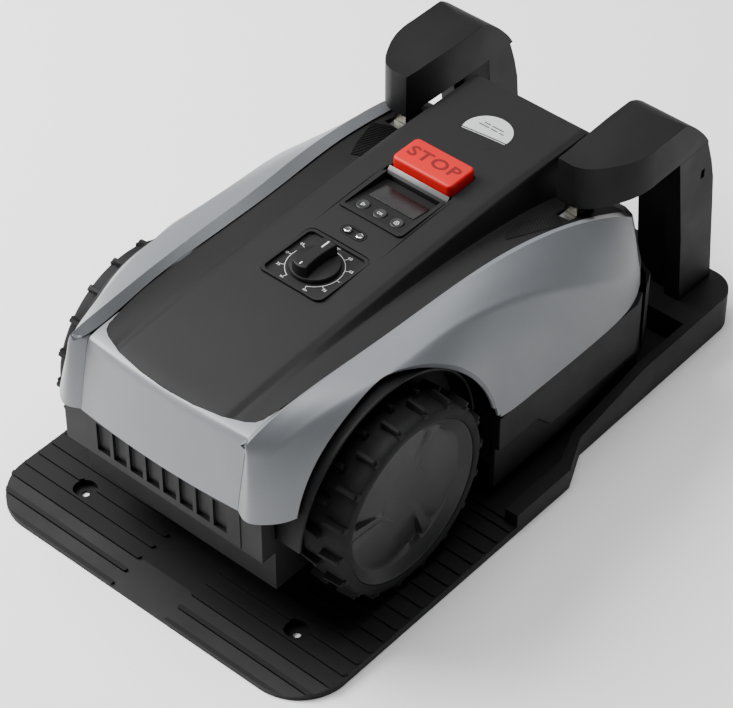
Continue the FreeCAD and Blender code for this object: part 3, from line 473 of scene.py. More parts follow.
shellSpec = {
    # y, then inner edge, rim ridge, top of the rounded shoulder, brow, flank and lower edge as (x, z)
    "sections": [
        (-327.0, (110.5, 256), (113.5, 260.5), (115, 250), (116, 236), (117.5, 205), (119, 173)),
        (-318.0, (107, 256.2), (113, 262.5), (119, 254), (121, 240), (128, 208), (134, 173)),
        (-300.0, (103.2, 257.2), (112.5, 266), (122, 257), (129, 246), (142, 212), (152, 173)),
        (-265.0, (104, 259.5), (112, 269), (122, 265), (133, 257), (149, 230), (160, 176)),
        (-215.0, (108, 263), (115, 270), (128, 268), (143, 262.5), (162, 247), (172, 186)),
        (-172.0, (110, 262), (118, 268), (133, 266.5), (150, 262), (170, 250), (178, 190)),
        (-130.0, (111, 260), (121, 266), (135, 265), (152, 261), (177, 240), (184, 180)),
        (-85.0, (112, 259), (122, 265), (136, 264), (151, 260), (179, 222), (186, 155)),
        (-35.0, (113, 258), (123, 266), (139, 262), (155, 254), (176, 205), (186, 131)),
        (15.0, (116, 258), (127, 266), (145, 258), (163, 245), (179, 195), (186, 131)),
        (65.0, (120.5, 255), (131, 261), (152, 247), (172, 227), (183, 182), (187, 131)),
        (115.0, (125.5, 246), (136, 252), (158, 230), (179, 200), (185, 168), (187, 131)),
        (160.0, (131, 234), (143, 239), (161, 212), (179, 178), (184, 158), (186, 131)),
        (192.0, (137, 223), (149, 226), (162, 199), (174, 166), (178, 150), (180, 131)),
        (214.0, (141, 214), (151, 212), (158, 188), (163, 162), (167, 148), (168, 131))],
    # where the tail's slanting inner band meets the rear face, as (y, z) from the top down
    "bandX": 103.2,
    "band": [(-302, 255.2), (-306.6, 253.0), (-308.8, 247.4), (-311, 236), (-317.6, 205), (-323.6, 173)],
    "wall": 3.0, "archY": -172.0, "archZ": 123.0, "archRadius": 131.0, "wheelCentreX": 160.0,
    # the arch is higher than its radius by the lip, and its drum is drawn out near and far and downwards
    "lip": 8.0, "drumSpread": 2.0, "drumDrop": 1.2, "drumWide": 160.0,
    "archBlock": (160.0, 136.0, 90.0), "archBlockZ": 94.0,
    "lipFrom": 150.0, "lipReach": 142.0, "lipTurnedIn": 0.75,
    # the tail's flank leans back about a middle height
    "leanFrom": -265.0, "leanRun": 64.0, "leanBack": 9.0, "leanHigh": 87.0, "leanMiddle": 231.0,
}


def tailLean(spec, y):
    return max(0.0, (spec["leanFrom"] - y) / spec["leanRun"]) * spec["leanBack"] / spec["leanHigh"]


def archTools(spec):
    # cutters for the wheel arch: a drum that is taller than it is long, and a block down to the ground
    bm = bmesh.new()
    drum = addRod(bm, spec["archRadius"], spec["drumWide"], 128)
    turnAbout(bm, drum, 90, "Y")
    for v in drum:
        v.co.z *= 1 + spec["lip"] / spec["archRadius"] if v.co.z > 0 else spec["drumDrop"]
        v.co.y *= 1 + spec["drumSpread"] / spec["archRadius"]
    moveBy(bm, drum, spec["wheelCentreX"], spec["archY"], spec["archZ"])
    block = bmesh.new()
    size = spec["archBlock"]
    addBox(block, size, (spec["wheelCentreX"], spec["archY"] + size[1] / 2, spec["archBlockZ"]))
    return meshFrom(bm, "archDrum"), meshFrom(block, "archBlock")


def silverShell(spec, side):
    word = "Right" if side > 0 else "Left"
    sections = [[(spec["bandX"], y, z) for y, z in spec["band"]]]
    for y, *points in spec["sections"]:
        sections.append([(x, y + tailLean(spec, y) * (z - spec["leanMiddle"]), z) for x, z in points])
    piece = thickSkin("shell" + word, sections, {1: 1.0, 3: 0.8}, spec["wall"], 0)
    for tool in archTools(spec):
        cutWith(piece, tool)
    addArchLip(piece, spec)
    if side < 0:
        bm = openMesh(piece)
        bmesh.ops.scale(bm, vec=(-1, 1, 1), verts=bm.verts[:])
        bmesh.ops.reverse_faces(bm, faces=bm.faces[:])
        closeMesh(bm, piece)
    shadeByAngle(piece, 28, silverLacquer)
    softEdges(piece, 0.6, 40)
    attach(piece, "mower")
    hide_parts("side_shell_" + word.lower())


def addArchLip(piece, spec):
    # the cut faces round the arch are drawn inwards and towards the wheel, which makes the turned-in lip
    bm = openMesh(piece)
    cy, cz = spec["archY"] * mm, spec["archZ"] * mm
    rim = []
    for face in bm.faces:
        middle = face.calc_center_median()
        reach = math.hypot(middle.y - cy, middle.z - cz)
        toWheel = Vector((0, cy - middle.y, cz - middle.z)).normalized()
        if (middle.z > spec["lipFrom"] * mm and reach < spec["lipReach"] * mm
                and face.normal.dot(toWheel) > 0.93):
            rim.append(face)
    for v in vertsOf(bmesh.ops.extrude_face_region(bm, geom=rim)):
        reach = math.hypot(v.co.y - cy, v.co.z - cz)
        pull = max(0.0, reach - spec["archRadius"] * mm)
        v.co.y -= (v.co.y - cy) / reach * pull
        v.co.z -= (v.co.z - cz) / reach * pull
        v.co.x -= spec["lipTurnedIn"] * pull
    bmesh.ops.delete(bm, geom=rim, context="FACES_ONLY")
    closeMesh(bm, piece)


silverShell(shellSpec, 1)
silverShell(shellSpec, -1)
print("silver shells made")


# drive wheels

wheelSpec = {
    "y": -172.0, "z": 123.0, "outer": 189.5, "wide": 52.0, "tread": 103.0, "lugs": 18,
    # outline of the tyre as (x from the outer face, radius)
    "tyre": [(-4.0, 90.0), (-0.6, 90.6), (0.0, 92.0), (0.0, 97.5), (-1.2, 100.8), (-4.0, 102.6), (-9.0, 103.0),
             (-43.0, 103.0), (-48.0, 102.6), (-50.8, 100.8), (-52.0, 97.5), (-52.0, 92.0), (-50.0, 90.0)],
    # outline of the hub's back and rim, from the rim's outer edge inward; its face is made apart
    "hub": [(-10.2, 78.0), (-9.4, 80.0), (-3.0, 87.2), (-1.4, 89.9), (-49.0, 89.9), (-49.0, 84.0), (-18.0, 84.0),
            (-17.0, 30.0), (-39.0, 30.0), (-39.0, 0.0)],
    "dish": [(-12.6, 0.0), (-12.6, 10.0), (-11.4, 12.0)],
    # the hub's face: from radius to radius in rings and steps, its height at the foot, and what it rises outwards
    "faceFrom": 12.0, "faceTo": 78.0, "faceRings": 18, "faceSteps": 120, "faceFoot": -11.4, "faceRise": 1.2,
    # its recesses: how deep, from which angle to which, how they grow and fade outwards, the crest and groove between
    "recess": 5.0, "recessFrom": 3.0, "recessTo": 51.0, "spokeTo": 63.0, "sweepDeg": 16.0,
    "growFrom": 30.0, "growOver": 40.0, "fadeAt": 77.9, "fadeOver": 4.0,
    "crest": 0.6, "groove": 1.8, "grooveDeg": 7.0,
    # lug as length, width and height; how its crest narrows, its chamfer, and where the two rows stand
    "lug": (22.0, 6.6, 10.2), "crestLong": 0.94, "crestWide": 0.62, "lugChamfer": 1.6, "lugSunk": 2.6,
    "lugEdge": 3.0, "lugRowPitch": 24.0,
    "block": (3.0, 7.0, 7.0), "blockIn": 2.4, "blockRadius": 101.2,
    "axleRadius": 6.0, "axleLong": 70.0, "axleIn": 65.0,
}


def recessDepth(spec, radius, phase):
    # three recesses deepen with the turn and end in a wall, a narrow crest stands beside each wall
    grown = max(0.0, min(1.0, (radius - spec["growFrom"]) / spec["growOver"]))
    reach = grown * max(0.0, min(1.0, (spec["fadeAt"] - radius) / spec["fadeOver"]))
    if spec["recessFrom"] < phase < spec["recessTo"]:
        share = (phase - spec["recessFrom"]) / (spec["recessTo"] - spec["recessFrom"])
        return -spec["recess"] * share ** 1.3 * reach
    if spec["recessTo"] <= phase < spec["spokeTo"]:
        return spec["crest"] * reach
    if spec["spokeTo"] <= phase < spec["spokeTo"] + spec["grooveDeg"]:
        return -spec["groove"] * (1 - (phase - spec["spokeTo"]) / spec["grooveDeg"]) * reach
    return 0.0


def turned(bm, outline, outerX, closed, steps=120):
    verts = [bm.verts.new(((outerX + x) * mm, 0, r * mm)) for x, r in outline]
    edges = [bm.edges.new((a, b)) for a, b in zip(verts, verts[1:])]
    if closed:
        edges.append(bm.edges.new((verts[-1], verts[0])))
    bmesh.ops.spin(bm, geom=verts + edges, cent=(0, 0, 0), axis=(1, 0, 0), angle=math.tau, steps=steps,
                   use_merge=True)
    bmesh.ops.remove_doubles(bm, verts=bm.verts[:], dist=0.01 * mm)


def tyreLug(bm, spec, row, degrees):
    # a tall lug with drawn sides: narrow at its crest, with its outer end chamfered
    lug = addBox(bm, spec["lug"])
    for v in lug:
        if v.co.z > 0:
            v.co.y *= spec["crestWide"]
            v.co.x *= spec["crestLong"]
            if (v.co.x > 0) == (row == 1):
                v.co.z -= spec["lugChamfer"] * mm
    x = spec["outer"] - spec["wide"] + spec["lugEdge"] + row * spec["lugRowPitch"] + spec["lug"][0] / 2
    z = spec["tread"] - spec["lugSunk"] + spec["lug"][2] / 2
    moveBy(bm, lug, x, 0, z)
    turnAbout(bm, lug, degrees, "X")


def driveWheel(spec, side):
    word, body = ("Right", "wheel_r") if side > 0 else ("Left", "wheel_l")
    tyre = bmesh.new()
    turned(tyre, spec["tyre"], spec["outer"], True)
    # buttressed shoulder: a small block beside every outer lug, on the sidewall
    for k in range(spec["lugs"]):
        for row in (0, 1):
            tyreLug(tyre, spec, row, 360.0 / spec["lugs"] * (k + 0.5 * row))
        block = addBox(tyre, spec["block"], (spec["outer"] - spec["blockIn"], 0, spec["blockRadius"]))
        turnAbout(tyre, block, 360.0 / spec["lugs"] * (k + 0.5), "X")
    hub = bmesh.new()
    turned(hub, spec["hub"], spec["outer"], False)
    faceWide = spec["faceTo"] - spec["faceFrom"]
    rows = []
    for ring in range(spec["faceRings"]):
        radius = spec["faceFrom"] + faceWide * ring / (spec["faceRings"] - 1)
        rise = spec["faceFoot"] + spec["faceRise"] * (radius - spec["faceFrom"]) / faceWide
        row = []
        for k in range(spec["faceSteps"]):
            phase = 360.0 * k / spec["faceSteps"]
            turn = math.radians(phase + spec["sweepDeg"] * (1 - radius / spec["faceTo"]) ** 2)
            x = spec["outer"] + rise + recessDepth(spec, radius, phase % 120)
            row.append(hub.verts.new(Vector((x, radius * math.cos(turn), radius * math.sin(turn))) * mm))
        rows.append([hub.edges.new((a, b)) for a, b in zip(row, row[1:] + row[:1])])
    bridgeRows(hub, rows)
    turned(hub, spec["dish"], spec["outer"], False)
    bmesh.ops.remove_doubles(hub, verts=hub.verts[:], dist=0.02 * mm)
    axle = addRod(hub, spec["axleRadius"], spec["axleLong"], 32)
    turnAbout(hub, axle, 90, "Y")
    moveBy(hub, axle, spec["outer"] - spec["axleIn"], 0, 0)
    for part, name, material, node, slotName in ((tyre, "tyre", tyreRubber, "drive_tyre_", "tyre_rubber"),
                                                 (hub, "hub", hubGrain, "drive_hub_", "hub_plastic")):
        moveBy(part, part.verts[:], 0, spec["y"], spec["z"])
        if side < 0:
            bmesh.ops.scale(part, vec=(-1, 1, 1), verts=part.verts[:])
        piece = finishMesh(part, name + word, material, body, 33)
        softEdges(piece, 0.5, 40)
        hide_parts(node + word.lower())


driveWheel(wheelSpec, 1)
driveWheel(wheelSpec, -1)
print("drive wheels made")


# dark cover with its spine

coverSpec = {
    # y, edge (x, z), valley (x, z), foot of the spine, shoulder of the spine, crown height
    "sections": [
        (-311.0, (99.6, 254.6), 252.8, 253.0, 253.4), (-296.0, (101.0, 256.8), 254.6, 255.4, 256.0),
        (-275.0, (101, 258.0), 255.5, 257.5, 257.5), (-235.0, (106, 261.5), 257.0, 260.5, 261.0),
        (-185.0, (109, 261.0), 257.5, 263.5, 264.5),
        (-135.0, (110.5, 259.0), 257.0, 265.5, 267.0), (-85.0, (111.5, 257.5), 256.5, 267.5, 269.5),
        (-35.0, (112.7, 257.0), 254.5, 269.5, 272.0), (15.0, (115.3, 256.5), 251.0, 271.0, 274.0),
        (65.0, (119.9, 253.0), 246.0, 272.5, 275.5), (115.0, (124.8, 244.0), 239.0, 272.5, 275.0),
        (160.0, (130.3, 232.0), 229.0, 271.5, 274.0), (200.0, (138.0, 219.0), 217.0, 271.0, 272.5),
        (234.0, (146.0, 208.0), 206.0, 270.5, 271.5)],
    "valleyX": 82.0, "spineHalf": 73.0, "wall": 3.0,
    # outline of the near end, which lies in the rear face
    "edgePlan": [(100.6, -270), (99.4, -281), (95.5, -288.5), (88, -293.6), (66, -301.5), (34, -306.6), (5, -308.0)],
    "planFoot": 150.0, "openingFoot": 240.0,
    # openings for the panel, the dial and the stop button: half width, near end, far end, corner
    "openings": [(41.0, -20.5, 62.5, 6), (40.5, -138.5, -59.5, 9), (39.5, 57.5, 100.5, 6)],
    # opening for the rain sensor: a rounded square drawn apart, and its place
    "pillHalf": 7.2, "pillCorner": 7.15, "pillDrawn": 8, "pillY": -42,
    # cut off beside the far end of the spine, and sunk for each charging strip: x, y, floor
    "sideCuts": [((84.0, 200.0), (214.0, 260.0), 150.0), ((104.0, 122.0), (146.0, 188.0), 228.0)],
    # seat under each charging strip: its size, and the middle of the right one
    "seat": (18, 42, 9), "seatAt": (113.0, 167, 223.5),
}


def roundedPlan(halfX, y0, y1, corner, steps=5):
    points = []
    for cx, cy, start in ((halfX - corner, y1 - corner, 0), (-halfX + corner, y1 - corner, 90),
                          (-halfX + corner, y0 + corner, 180), (halfX - corner, y0 + corner, 270)):
        for k in range(steps + 1):
            turn = math.radians(start + 90 * k / steps)
            points.append((cx + corner * math.cos(turn), cy + corner * math.sin(turn)))
    return points


def darkCover(spec):
    sections = []
    for y, edge, valley, shoulder, crown in spec["sections"]:
        half = [edge, (spec["valleyX"] + 12, valley + 0.6), (spec["valleyX"], valley),
                (spec["spineHalf"] + 2, shoulder - 3.0), (spec["spineHalf"] - 6, shoulder), (34, crown - 0.4)]
        line = half + [(0, crown)] + [(-x, z) for x, z in reversed(half)]
        sections.append([(x, y, z) for x, z in line])
    creases = {2: 0.7, 3: 0.85, 4: 0.5, 8: 0.5, 9: 0.85, 10: 0.7}
    piece = thickSkin("topCover", sections, creases, spec["wall"], 2)
    right = spec["edgePlan"][::-1] + [(s[1][0], s[0]) for s in spec["sections"][2:]]
    cutPrism(piece, right + [(-x, y) for x, y in reversed(right)], spec["planFoot"], "INTERSECT")
    for opening in spec["openings"]:
        cutPrism(piece, roundedPlan(*opening), spec["openingFoot"])
    square = roundedPlan(spec["pillHalf"], -spec["pillHalf"], spec["pillHalf"], spec["pillCorner"], 8)
    drawn = spec["pillDrawn"]
    cutPrism(piece, [(x + (drawn if x > 0 else -drawn), y + spec["pillY"]) for x, y in square], spec["openingFoot"])
    for side in (-1, 1):
        tool = bmesh.new()
        for across, (y0, y1), floor in spec["sideCuts"]:
            x0, x1 = sorted(side * x for x in across)
            prismCutter(tool, [(x0, y0), (x1, y0), (x1, y1), (x0, y1)], floor)
        cutWith(piece, meshFrom(tool, "sideCuts"))
    shadeByAngle(piece, 30, coverGrain)
    softEdges(piece, 0.5, 42)
    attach(piece, "mower")
    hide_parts("top_cover")
    seats = bmesh.new()
    x, y, z = spec["seatAt"]
    for side in (-1, 1):
        addBox(seats, spec["seat"], (side * x, y, z))
    finishMesh(seats, "stripSeats", coverGrain, "mower")
    return piece


coverPiece = darkCover(coverSpec)
print("dark cover made")


# marks and ribs that lie on the cover

def surfaceTree(piece):
    bm = openMesh(piece)
    tree = BVHTree.FromBMesh(bm)
    bm.free()
    return tree


def dropOnto(bm, tree, lift):
    # every vertex keeps its own height above the surface that lies under it
    for v in bm.verts:
        hit = tree.ray_cast(Vector((v.co.x, v.co.y, 0.4)), Vector((0, 0, -1)))[0]
        if hit:
            v.co.z += hit.z + lift


labelSpec = {"middle": (0.0, 163.5), "radius": 27.0, "chord": (0.0, 158.2), "tiltDeg": 6.5, "film": 0.12,
             # widths of the bars row by row, their height, and where the rows stand
             "bars": [(13, 9, 6), (8, 15)], "barHigh": 1.7, "barRow": 6.5, "barRowPitch": 4.6, "barGap": 2,
             "grooveInner": 1.4, "grooveOuter": 1.9}


def halfMoonLabel(spec, tree):
    cx, cy = spec["middle"]
    tilt = math.radians(spec["tiltDeg"])
    across = Vector((-math.sin(tilt), math.cos(tilt), 0))
    for name, low, high in (("labelFilm", 0.0, 99.0), ("labelLine", -2.6, -1.7)):
        bm = bmesh.new()
        bmesh.ops.create_circle(bm, cap_ends=True, cap_tris=True, segments=96, radius=spec["radius"] * mm)
        bmesh.ops.subdivide_edges(bm, edges=bm.edges[:], cuts=5, use_grid_fill=True)
        moveBy(bm, bm.verts[:], cx, cy, 0)
        for edge, inner in ((low, False), (high, True)):
            at = Vector((spec["chord"][0], spec["chord"][1], 0)) * mm + across * edge * mm
            bmesh.ops.bisect_plane(bm, geom=bm.verts[:] + bm.edges[:] + bm.faces[:], plane_co=at, plane_no=across,
                                   clear_outer=inner, clear_inner=not inner)
        bmesh.ops.solidify(bm, geom=bm.faces[:], thickness=-spec["film"] * mm)
        dropOnto(bm, tree, 0.06 * mm)
        finishMesh(bm, name, labelFilm, "mower")
    # two rows of plain bars where the label carries small print
    bm = bmesh.new()
    for row, widths in enumerate(spec["bars"]):
        x = -sum(widths) / 2 - len(widths)
        for width in widths:
            bar = bmesh.ops.create_grid(bm, x_segments=8, y_segments=1, size=0.5)["verts"]
            bmesh.ops.scale(bm, vec=Vector((width, spec["barHigh"], 1)) * mm, verts=bar)
            moveBy(bm, bar, cx + x + width / 2 + 1.5, cy + spec["barRow"] + spec["barRowPitch"] * row, 0)
            x += width + spec["barGap"]
    dropOnto(bm, tree, 0.24 * mm)
    finishMesh(bm, "labelBars", inkGrey, "mower", turnOut=False)
    # fine groove that closes the circle, drawn as a flat ring in a deeper black: painted shade of the groove
    bm = bmesh.new()
    inner, outer = (spec["radius"] + spec[key] for key in ("grooveInner", "grooveOuter"))
    bmesh.ops.create_circle(bm, cap_ends=False, segments=128, radius=inner * mm)
    for v in vertsOf(bmesh.ops.extrude_edge_only(bm, edges=bm.edges[:])):
        v.co *= outer / inner
    moveBy(bm, bm.verts[:], cx, cy, 0)
    dropOnto(bm, tree, 0.08 * mm)
    finishMesh(bm, "labelGroovePaintedShade", blackGrain, "mower", turnOut=False)


ventSpec = {"from": 74.0, "count": 34, "pitch": 3.1, "length": 27.0, "wide": 1.3, "high": 0.9, "turnDeg": -40.0,
            "inset": 16.0, "stripY": 167, "stripClear": 27}


def valleyRibs(spec, tree, side):
    # short slanting ribs that fill the valley; the first ones are shorter and stand further in
    edgeLine = [(s[0], s[1][0]) for s in coverSpec["sections"]]
    bm = bmesh.new()
    for k in range(spec["count"]):
        y = spec["from"] + k * spec["pitch"]
        if abs(y - spec["stripY"]) < spec["stripClear"]:
            continue
        for (ya, xa), (yb, xb) in zip(edgeLine, edgeLine[1:]):
            if ya <= y <= yb:
                edgeX = xa + (xb - xa) * (y - ya) / (yb - ya)
        length = spec["length"] * min(1.0, 0.4 + k / 12.0)
        outerEnd = edgeX - 2 - spec["inset"] * max(0.0, 1 - k / 20.0)
        before = set(bm.verts)
        start = bmesh.ops.create_grid(bm, x_segments=6, y_segments=1, size=0.5)["verts"]
        bmesh.ops.scale(bm, vec=Vector((length, spec["wide"], 1)) * mm, verts=start)
        flat = list({f for v in start for f in v.link_faces})
        grown = bmesh.ops.extrude_face_region(bm, geom=flat, use_keep_orig=True)
        moveBy(bm, vertsOf(grown), 0, 0, spec["high"])
        rib = [v for v in bm.verts if v not in before]
        turnAbout(bm, rib, spec["turnDeg"], "Z")
        moveBy(bm, rib, outerEnd - 0.4 * length, y, 0)
    if side < 0:
        bmesh.ops.scale(bm, vec=(-1, 1, 1), verts=bm.verts[:])
    dropOnto(bm, tree, 0.35 * mm)
    finishMesh(bm, "valleyRibsRight" if side > 0 else "valleyRibsLeft", blackGrain, "mower")


coverTree = surfaceTree(coverPiece)
halfMoonLabel(labelSpec, coverTree)
valleyRibs(ventSpec, coverTree, 1)
valleyRibs(ventSpec, coverTree, -1)


railSpec = {"x": 43.2, "from": -52.0, "to": 58.0, "wide": 1.8, "high": 0.8, "steps": 24}


def controlRails(spec, tree):
    # two low ridges tie the dial plate to the panel
    bm = bmesh.new()
    for side in (-1, 1):
        rows = []
        for k in range(spec["steps"] + 1):
            y = spec["from"] + (spec["to"] - spec["from"]) * k / spec["steps"]
            fade = min(1.0, 0.15 + 3 * k / spec["steps"], 0.15 + 3 * (spec["steps"] - k) / spec["steps"])
            section = [(-1.0, 0.0), (-0.45, 0.8 * fade), (0.0, fade), (0.45, 0.8 * fade), (1.0, 0.0)]
            row = [bm.verts.new(Vector((side * spec["x"] + a * spec["wide"] / 2, y, h * spec["high"])) * mm)
                   for a, h in section]
            rows.append([bm.edges.new((a, b)) for a, b in zip(row, row[1:])])
        bridgeRows(bm, rows)
    bmesh.ops.recalc_face_normals(bm, faces=bm.faces[:])
    if sum(f.normal.z for f in bm.faces) < 0:
        bmesh.ops.reverse_faces(bm, faces=bm.faces[:])
    dropOnto(bm, tree, 0.03 * mm)
    finishMesh(bm, "controlRails", coverGrain, "mower", 60, turnOut=False)


controlRails(railSpec, coverTree)
print("label, ribs and rails made")


# rear face

tailSpec = {
    # (y at the middle, z) down the profile, from the cover's edge to the lower edge
    "profile": [(-262.0, 258.5), (-290.0, 257.0), (-304.0, 255.0), (-309.0, 253.2), (-312.6, 250.0),
                (-314.6, 245.0), (-320.0, 219.0), (-326.0, 190.0), (-329.0, 172.5)],
    "halfWidth": 102.8, "sag": 5.0, "wall": 3.0,
    # the hole for the cover follows the cover's own outline with a small gap
    "holeFrom": (100.4, -240), "gapX": 0.5, "gapY": 0.4, "holeFoot": 200.0,
}


def rearFace(spec):
    sections = []
    for k in range(9):
        x = -spec["halfWidth"] + k * spec["halfWidth"] / 4
        sag = spec["sag"] * (x / 100.0) ** 2
        row = []
        for i, (y, z) in enumerate(spec["profile"]):
            share = 0.0 if i < 2 else 0.5 if i < 4 else 1.0
            row.append((x, y + sag * share, z))
        sections.append(row)
    piece = thickSkin("tailFace", sections, {0: 1.0, 8: 1.0, 3: 0.15, 5: 0.25}, spec["wall"], 1, -1)
    right = [(x + spec["gapX"], y - spec["gapY"]) for x, y in [spec["holeFrom"]] + coverSpec["edgePlan"]]
    cutPrism(piece, right + [(-x, y) for x, y in reversed(right)], spec["holeFoot"])
    shadeByAngle(piece, 30, silverLacquer)
    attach(piece, "mower")
    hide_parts("tail_fascia")


rearFace(tailSpec)
print("rear face made")


# light strip ahead of the stop button: the pale bar, and under it a dark foot whose black is painted shade from the
# gap below the bar

stripSpec = {"half": 39.0,
             "bar": [(53.4, 271.8), (57.2, 275.5), (57.2, 262.0), (53.4, 262.0)],
             # the foot is the lower part of the same grey strip, coloured in the cover's black as painted shade
             "foot": [(51.0, 262.0), (51.0, 269.2), (53.3, 271.4), (53.3, 262.0)]}


def lightStrip(spec):
    for name, outline, material in (("lightStrip", spec["bar"], stripGrey), ("stripPaintedShadeFoot", spec["foot"], coverGrain)):
        bm = bmesh.new()
        end = bm.faces.new([bm.verts.new(Vector((-spec["half"], y, z)) * mm) for y, z in outline])
        far = bmesh.ops.extrude_face_region(bm, geom=[end])
        moveBy(bm, vertsOf(far), 2 * spec["half"], 0, 0)
        bmesh.ops.recalc_face_normals(bm, faces=bm.faces[:])
        bevelEdges(bm, bm.edges[:], 0.3, 2)
        piece = finishMesh(bm, name, material, "mower")
        if name == "lightStrip":
            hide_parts("panel_trim_strip")


lightStrip(stripSpec)


# stop button

stopSpec = {"size": (77.0, 41.0, 14.0), "middle": (0.0, 79.0, 279.5), "corner": 6.0, "edge": 3.2,
            "word": "STOP", "letterSize": 21.0, "letterStretch": 1.18, "letterBold": 0.45,
            "stem": (40.0, 20.0, 10.5)}


def stopCap(spec):
    bm = bmesh.new()
    roundedBlock(bm, spec["size"], spec["middle"], spec["corner"], spec["edge"])
    under = spec["middle"][2] - spec["size"][2] / 2 - spec["stem"][2] / 2
    addBox(bm, spec["stem"], (0, spec["middle"][1], under + 0.1))
    cap = finishMesh(bm, "stopCap", stopRed, "stop")
    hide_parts("stop_button")
    # the word, a thin film in the shade that its sunken letters hold
    letters = textMesh(spec["word"], spec["letterSize"] * mm, 0.16 * mm, spec["letterBold"] * mm, 1.12)
    top = spec["middle"][2] + spec["size"][2] / 2
    letters.transform(Matrix.Translation(Vector((0, spec["middle"][1], top + 0.02)) * mm) @
                      Matrix.Scale(spec["letterStretch"], 4, (1, 0, 0)))
    word = bmesh.new()
    word.from_mesh(letters)
    finishMesh(word, "stopWord", stopLetterPaintedShade, "stop", turnOut=False)


stopCap(stopSpec)
print("stop button made")


# height dial

dialSpec = {
    "middle": (0.0, -99.0), "gripHalf": 25.0, "gripWide": 8.5, "gripTop": 284.0, "gripTall": 15.0, "plateTop": 265.6,
    # outline of the skirt as (radius, height)
    "skirt": [(0.0, 266.0), (26.0, 266.0), (26.0, 269.4), (25.3, 270.6), (23.8, 271.2), (9.0, 271.6), (0.0, 271.6)],
    "shaftRadius": 4.0, "shaftLength": 126.0, "shaftMiddle": 203.0,
    # pointer on the grip and the mark at its tail, as length, width and place along the grip
    "pointer": [(11.0, 1.6, 15.5), (4.5, 1.2, -20.0)],
    "ringRadius": 29.5, "ringWide": 0.5, "ringParts": 62, "sweepDeg": 310, "partDeg": 5.1,
    "tickLong": 3.6, "labelRadius": 35.8, "labelSize": 4.8, "unitSize": 4.6, "stepDeg": 31.0, "ink": 0.14,
    "lowest": 30, "stepMm": 5, "steps": 11}


def dialKnob(spec):
    x, y = spec["middle"]
    bm = bmesh.new()
    spun(bm, spec["skirt"], 72)
    moveBy(bm, bm.verts[:], x, y, 0)
    # grip: a bar waisted in the middle, with a crowned top
    grip = bmesh.new()
    bmesh.ops.create_grid(grip, x_segments=4, y_segments=12, size=1.0)
    bmesh.ops.scale(grip, vec=(spec["gripWide"] * mm, spec["gripHalf"] * mm, 1), verts=grip.verts[:])
    for v in grip.verts:
        along = v.co.y / (spec["gripHalf"] * mm)
        v.co.x *= 0.80 + 0.25 * along * along
        v.co.y *= 1 - 0.10 * (v.co.x / (spec["gripWide"] * mm)) ** 2
    moveBy(grip, grip.verts[:], 0, 0, spec["gripTop"])
    lower = vertsOf(bmesh.ops.extrude_face_region(grip, geom=grip.faces[:]))
    moveBy(grip, lower, 0, 0, -spec["gripTall"])
    for v in lower:
        v.co.x *= 1.12
    bmesh.ops.recalc_face_normals(grip, faces=grip.faces[:])
    rim = [e for e in grip.edges if len(e.link_faces) == 2 and e.calc_face_angle(0) > math.radians(50)
           and min(v.co.z for v in e.verts) > (spec["gripTop"] - 1) * mm]
    bevelEdges(grip, rim, 1.7, 4)
    moveBy(grip, grip.verts[:], x, y, 0)
    bm.from_mesh(meshFrom(grip, "grip"))
    shaft = addRod(bm, spec["shaftRadius"], spec["shaftLength"], 24)
    moveBy(bm, shaft, x, y, spec["shaftMiddle"])
    knob = finishMesh(bm, "dialKnob", blackGrain, "dial", 30)
    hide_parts("height_dial")
    line = bmesh.new()
    for length, width, along in spec["pointer"]:
        addBox(line, (width, length, 0.16), (x, y + along, spec["gripTop"] + 0.04))
    pointer = finishMesh(line, "dialPointer", whiteInk, "dial")


def dialScale(spec):
    # white ring with a tick and a number at every 5 mm of height, and the unit between the ends
    bm = bmesh.new()
    parts, sweep = spec["ringParts"], spec["sweepDeg"]
    long = spec["ringRadius"] * math.radians(spec["partDeg"])
    turns = [(k - 5) * spec["stepDeg"] for k in range(spec["steps"])]
    bars = [((long, spec["ringWide"], spec["ink"]), spec["ringRadius"], -sweep / 2 + sweep * (k + 0.5) / parts)
            for k in range(parts)]
    bars += [((0.5, spec["tickLong"], spec["ink"]), spec["ringRadius"] + spec["tickLong"] / 2, turn)
             for turn in turns]
    for size, reach, turn in bars:
        turnAbout(bm, addBox(bm, size, (0, reach, 0)), -turn, "Z")
    words = [(str(spec["lowest"] + spec["stepMm"] * k), turn, spec["labelSize"]) for k, turn in enumerate(turns)]
    words.append(("mm", 180.0, spec["unitSize"]))
    reach = spec["labelRadius"] * mm
    for word, turn, size in words:
        letters = textMesh(word, size * mm, spec["ink"] * mm)
        letters.transform(Matrix.Translation((math.sin(math.radians(turn)) * reach,
                                              math.cos(math.radians(turn)) * reach, 0)))
        bm.from_mesh(letters)
    x, y = spec["middle"]
    moveBy(bm, bm.verts[:], x, y, spec["plateTop"] + 0.08)
    finishMesh(bm, "dialScale", whiteInk, "mower", turnOut=False)


dialKnob(dialSpec)
dialScale(dialSpec)
print("dial made")


# panel buttons with their marks

buttonSpec = {"radius": 7.0, "y": -3.0, "top": 272.17, "dish": 0.8, "pitch": 21.8, "markScale": 1.3,
              "capTall": 5.0, "stemRadius": 1.8, "stemFoot": 13.8}


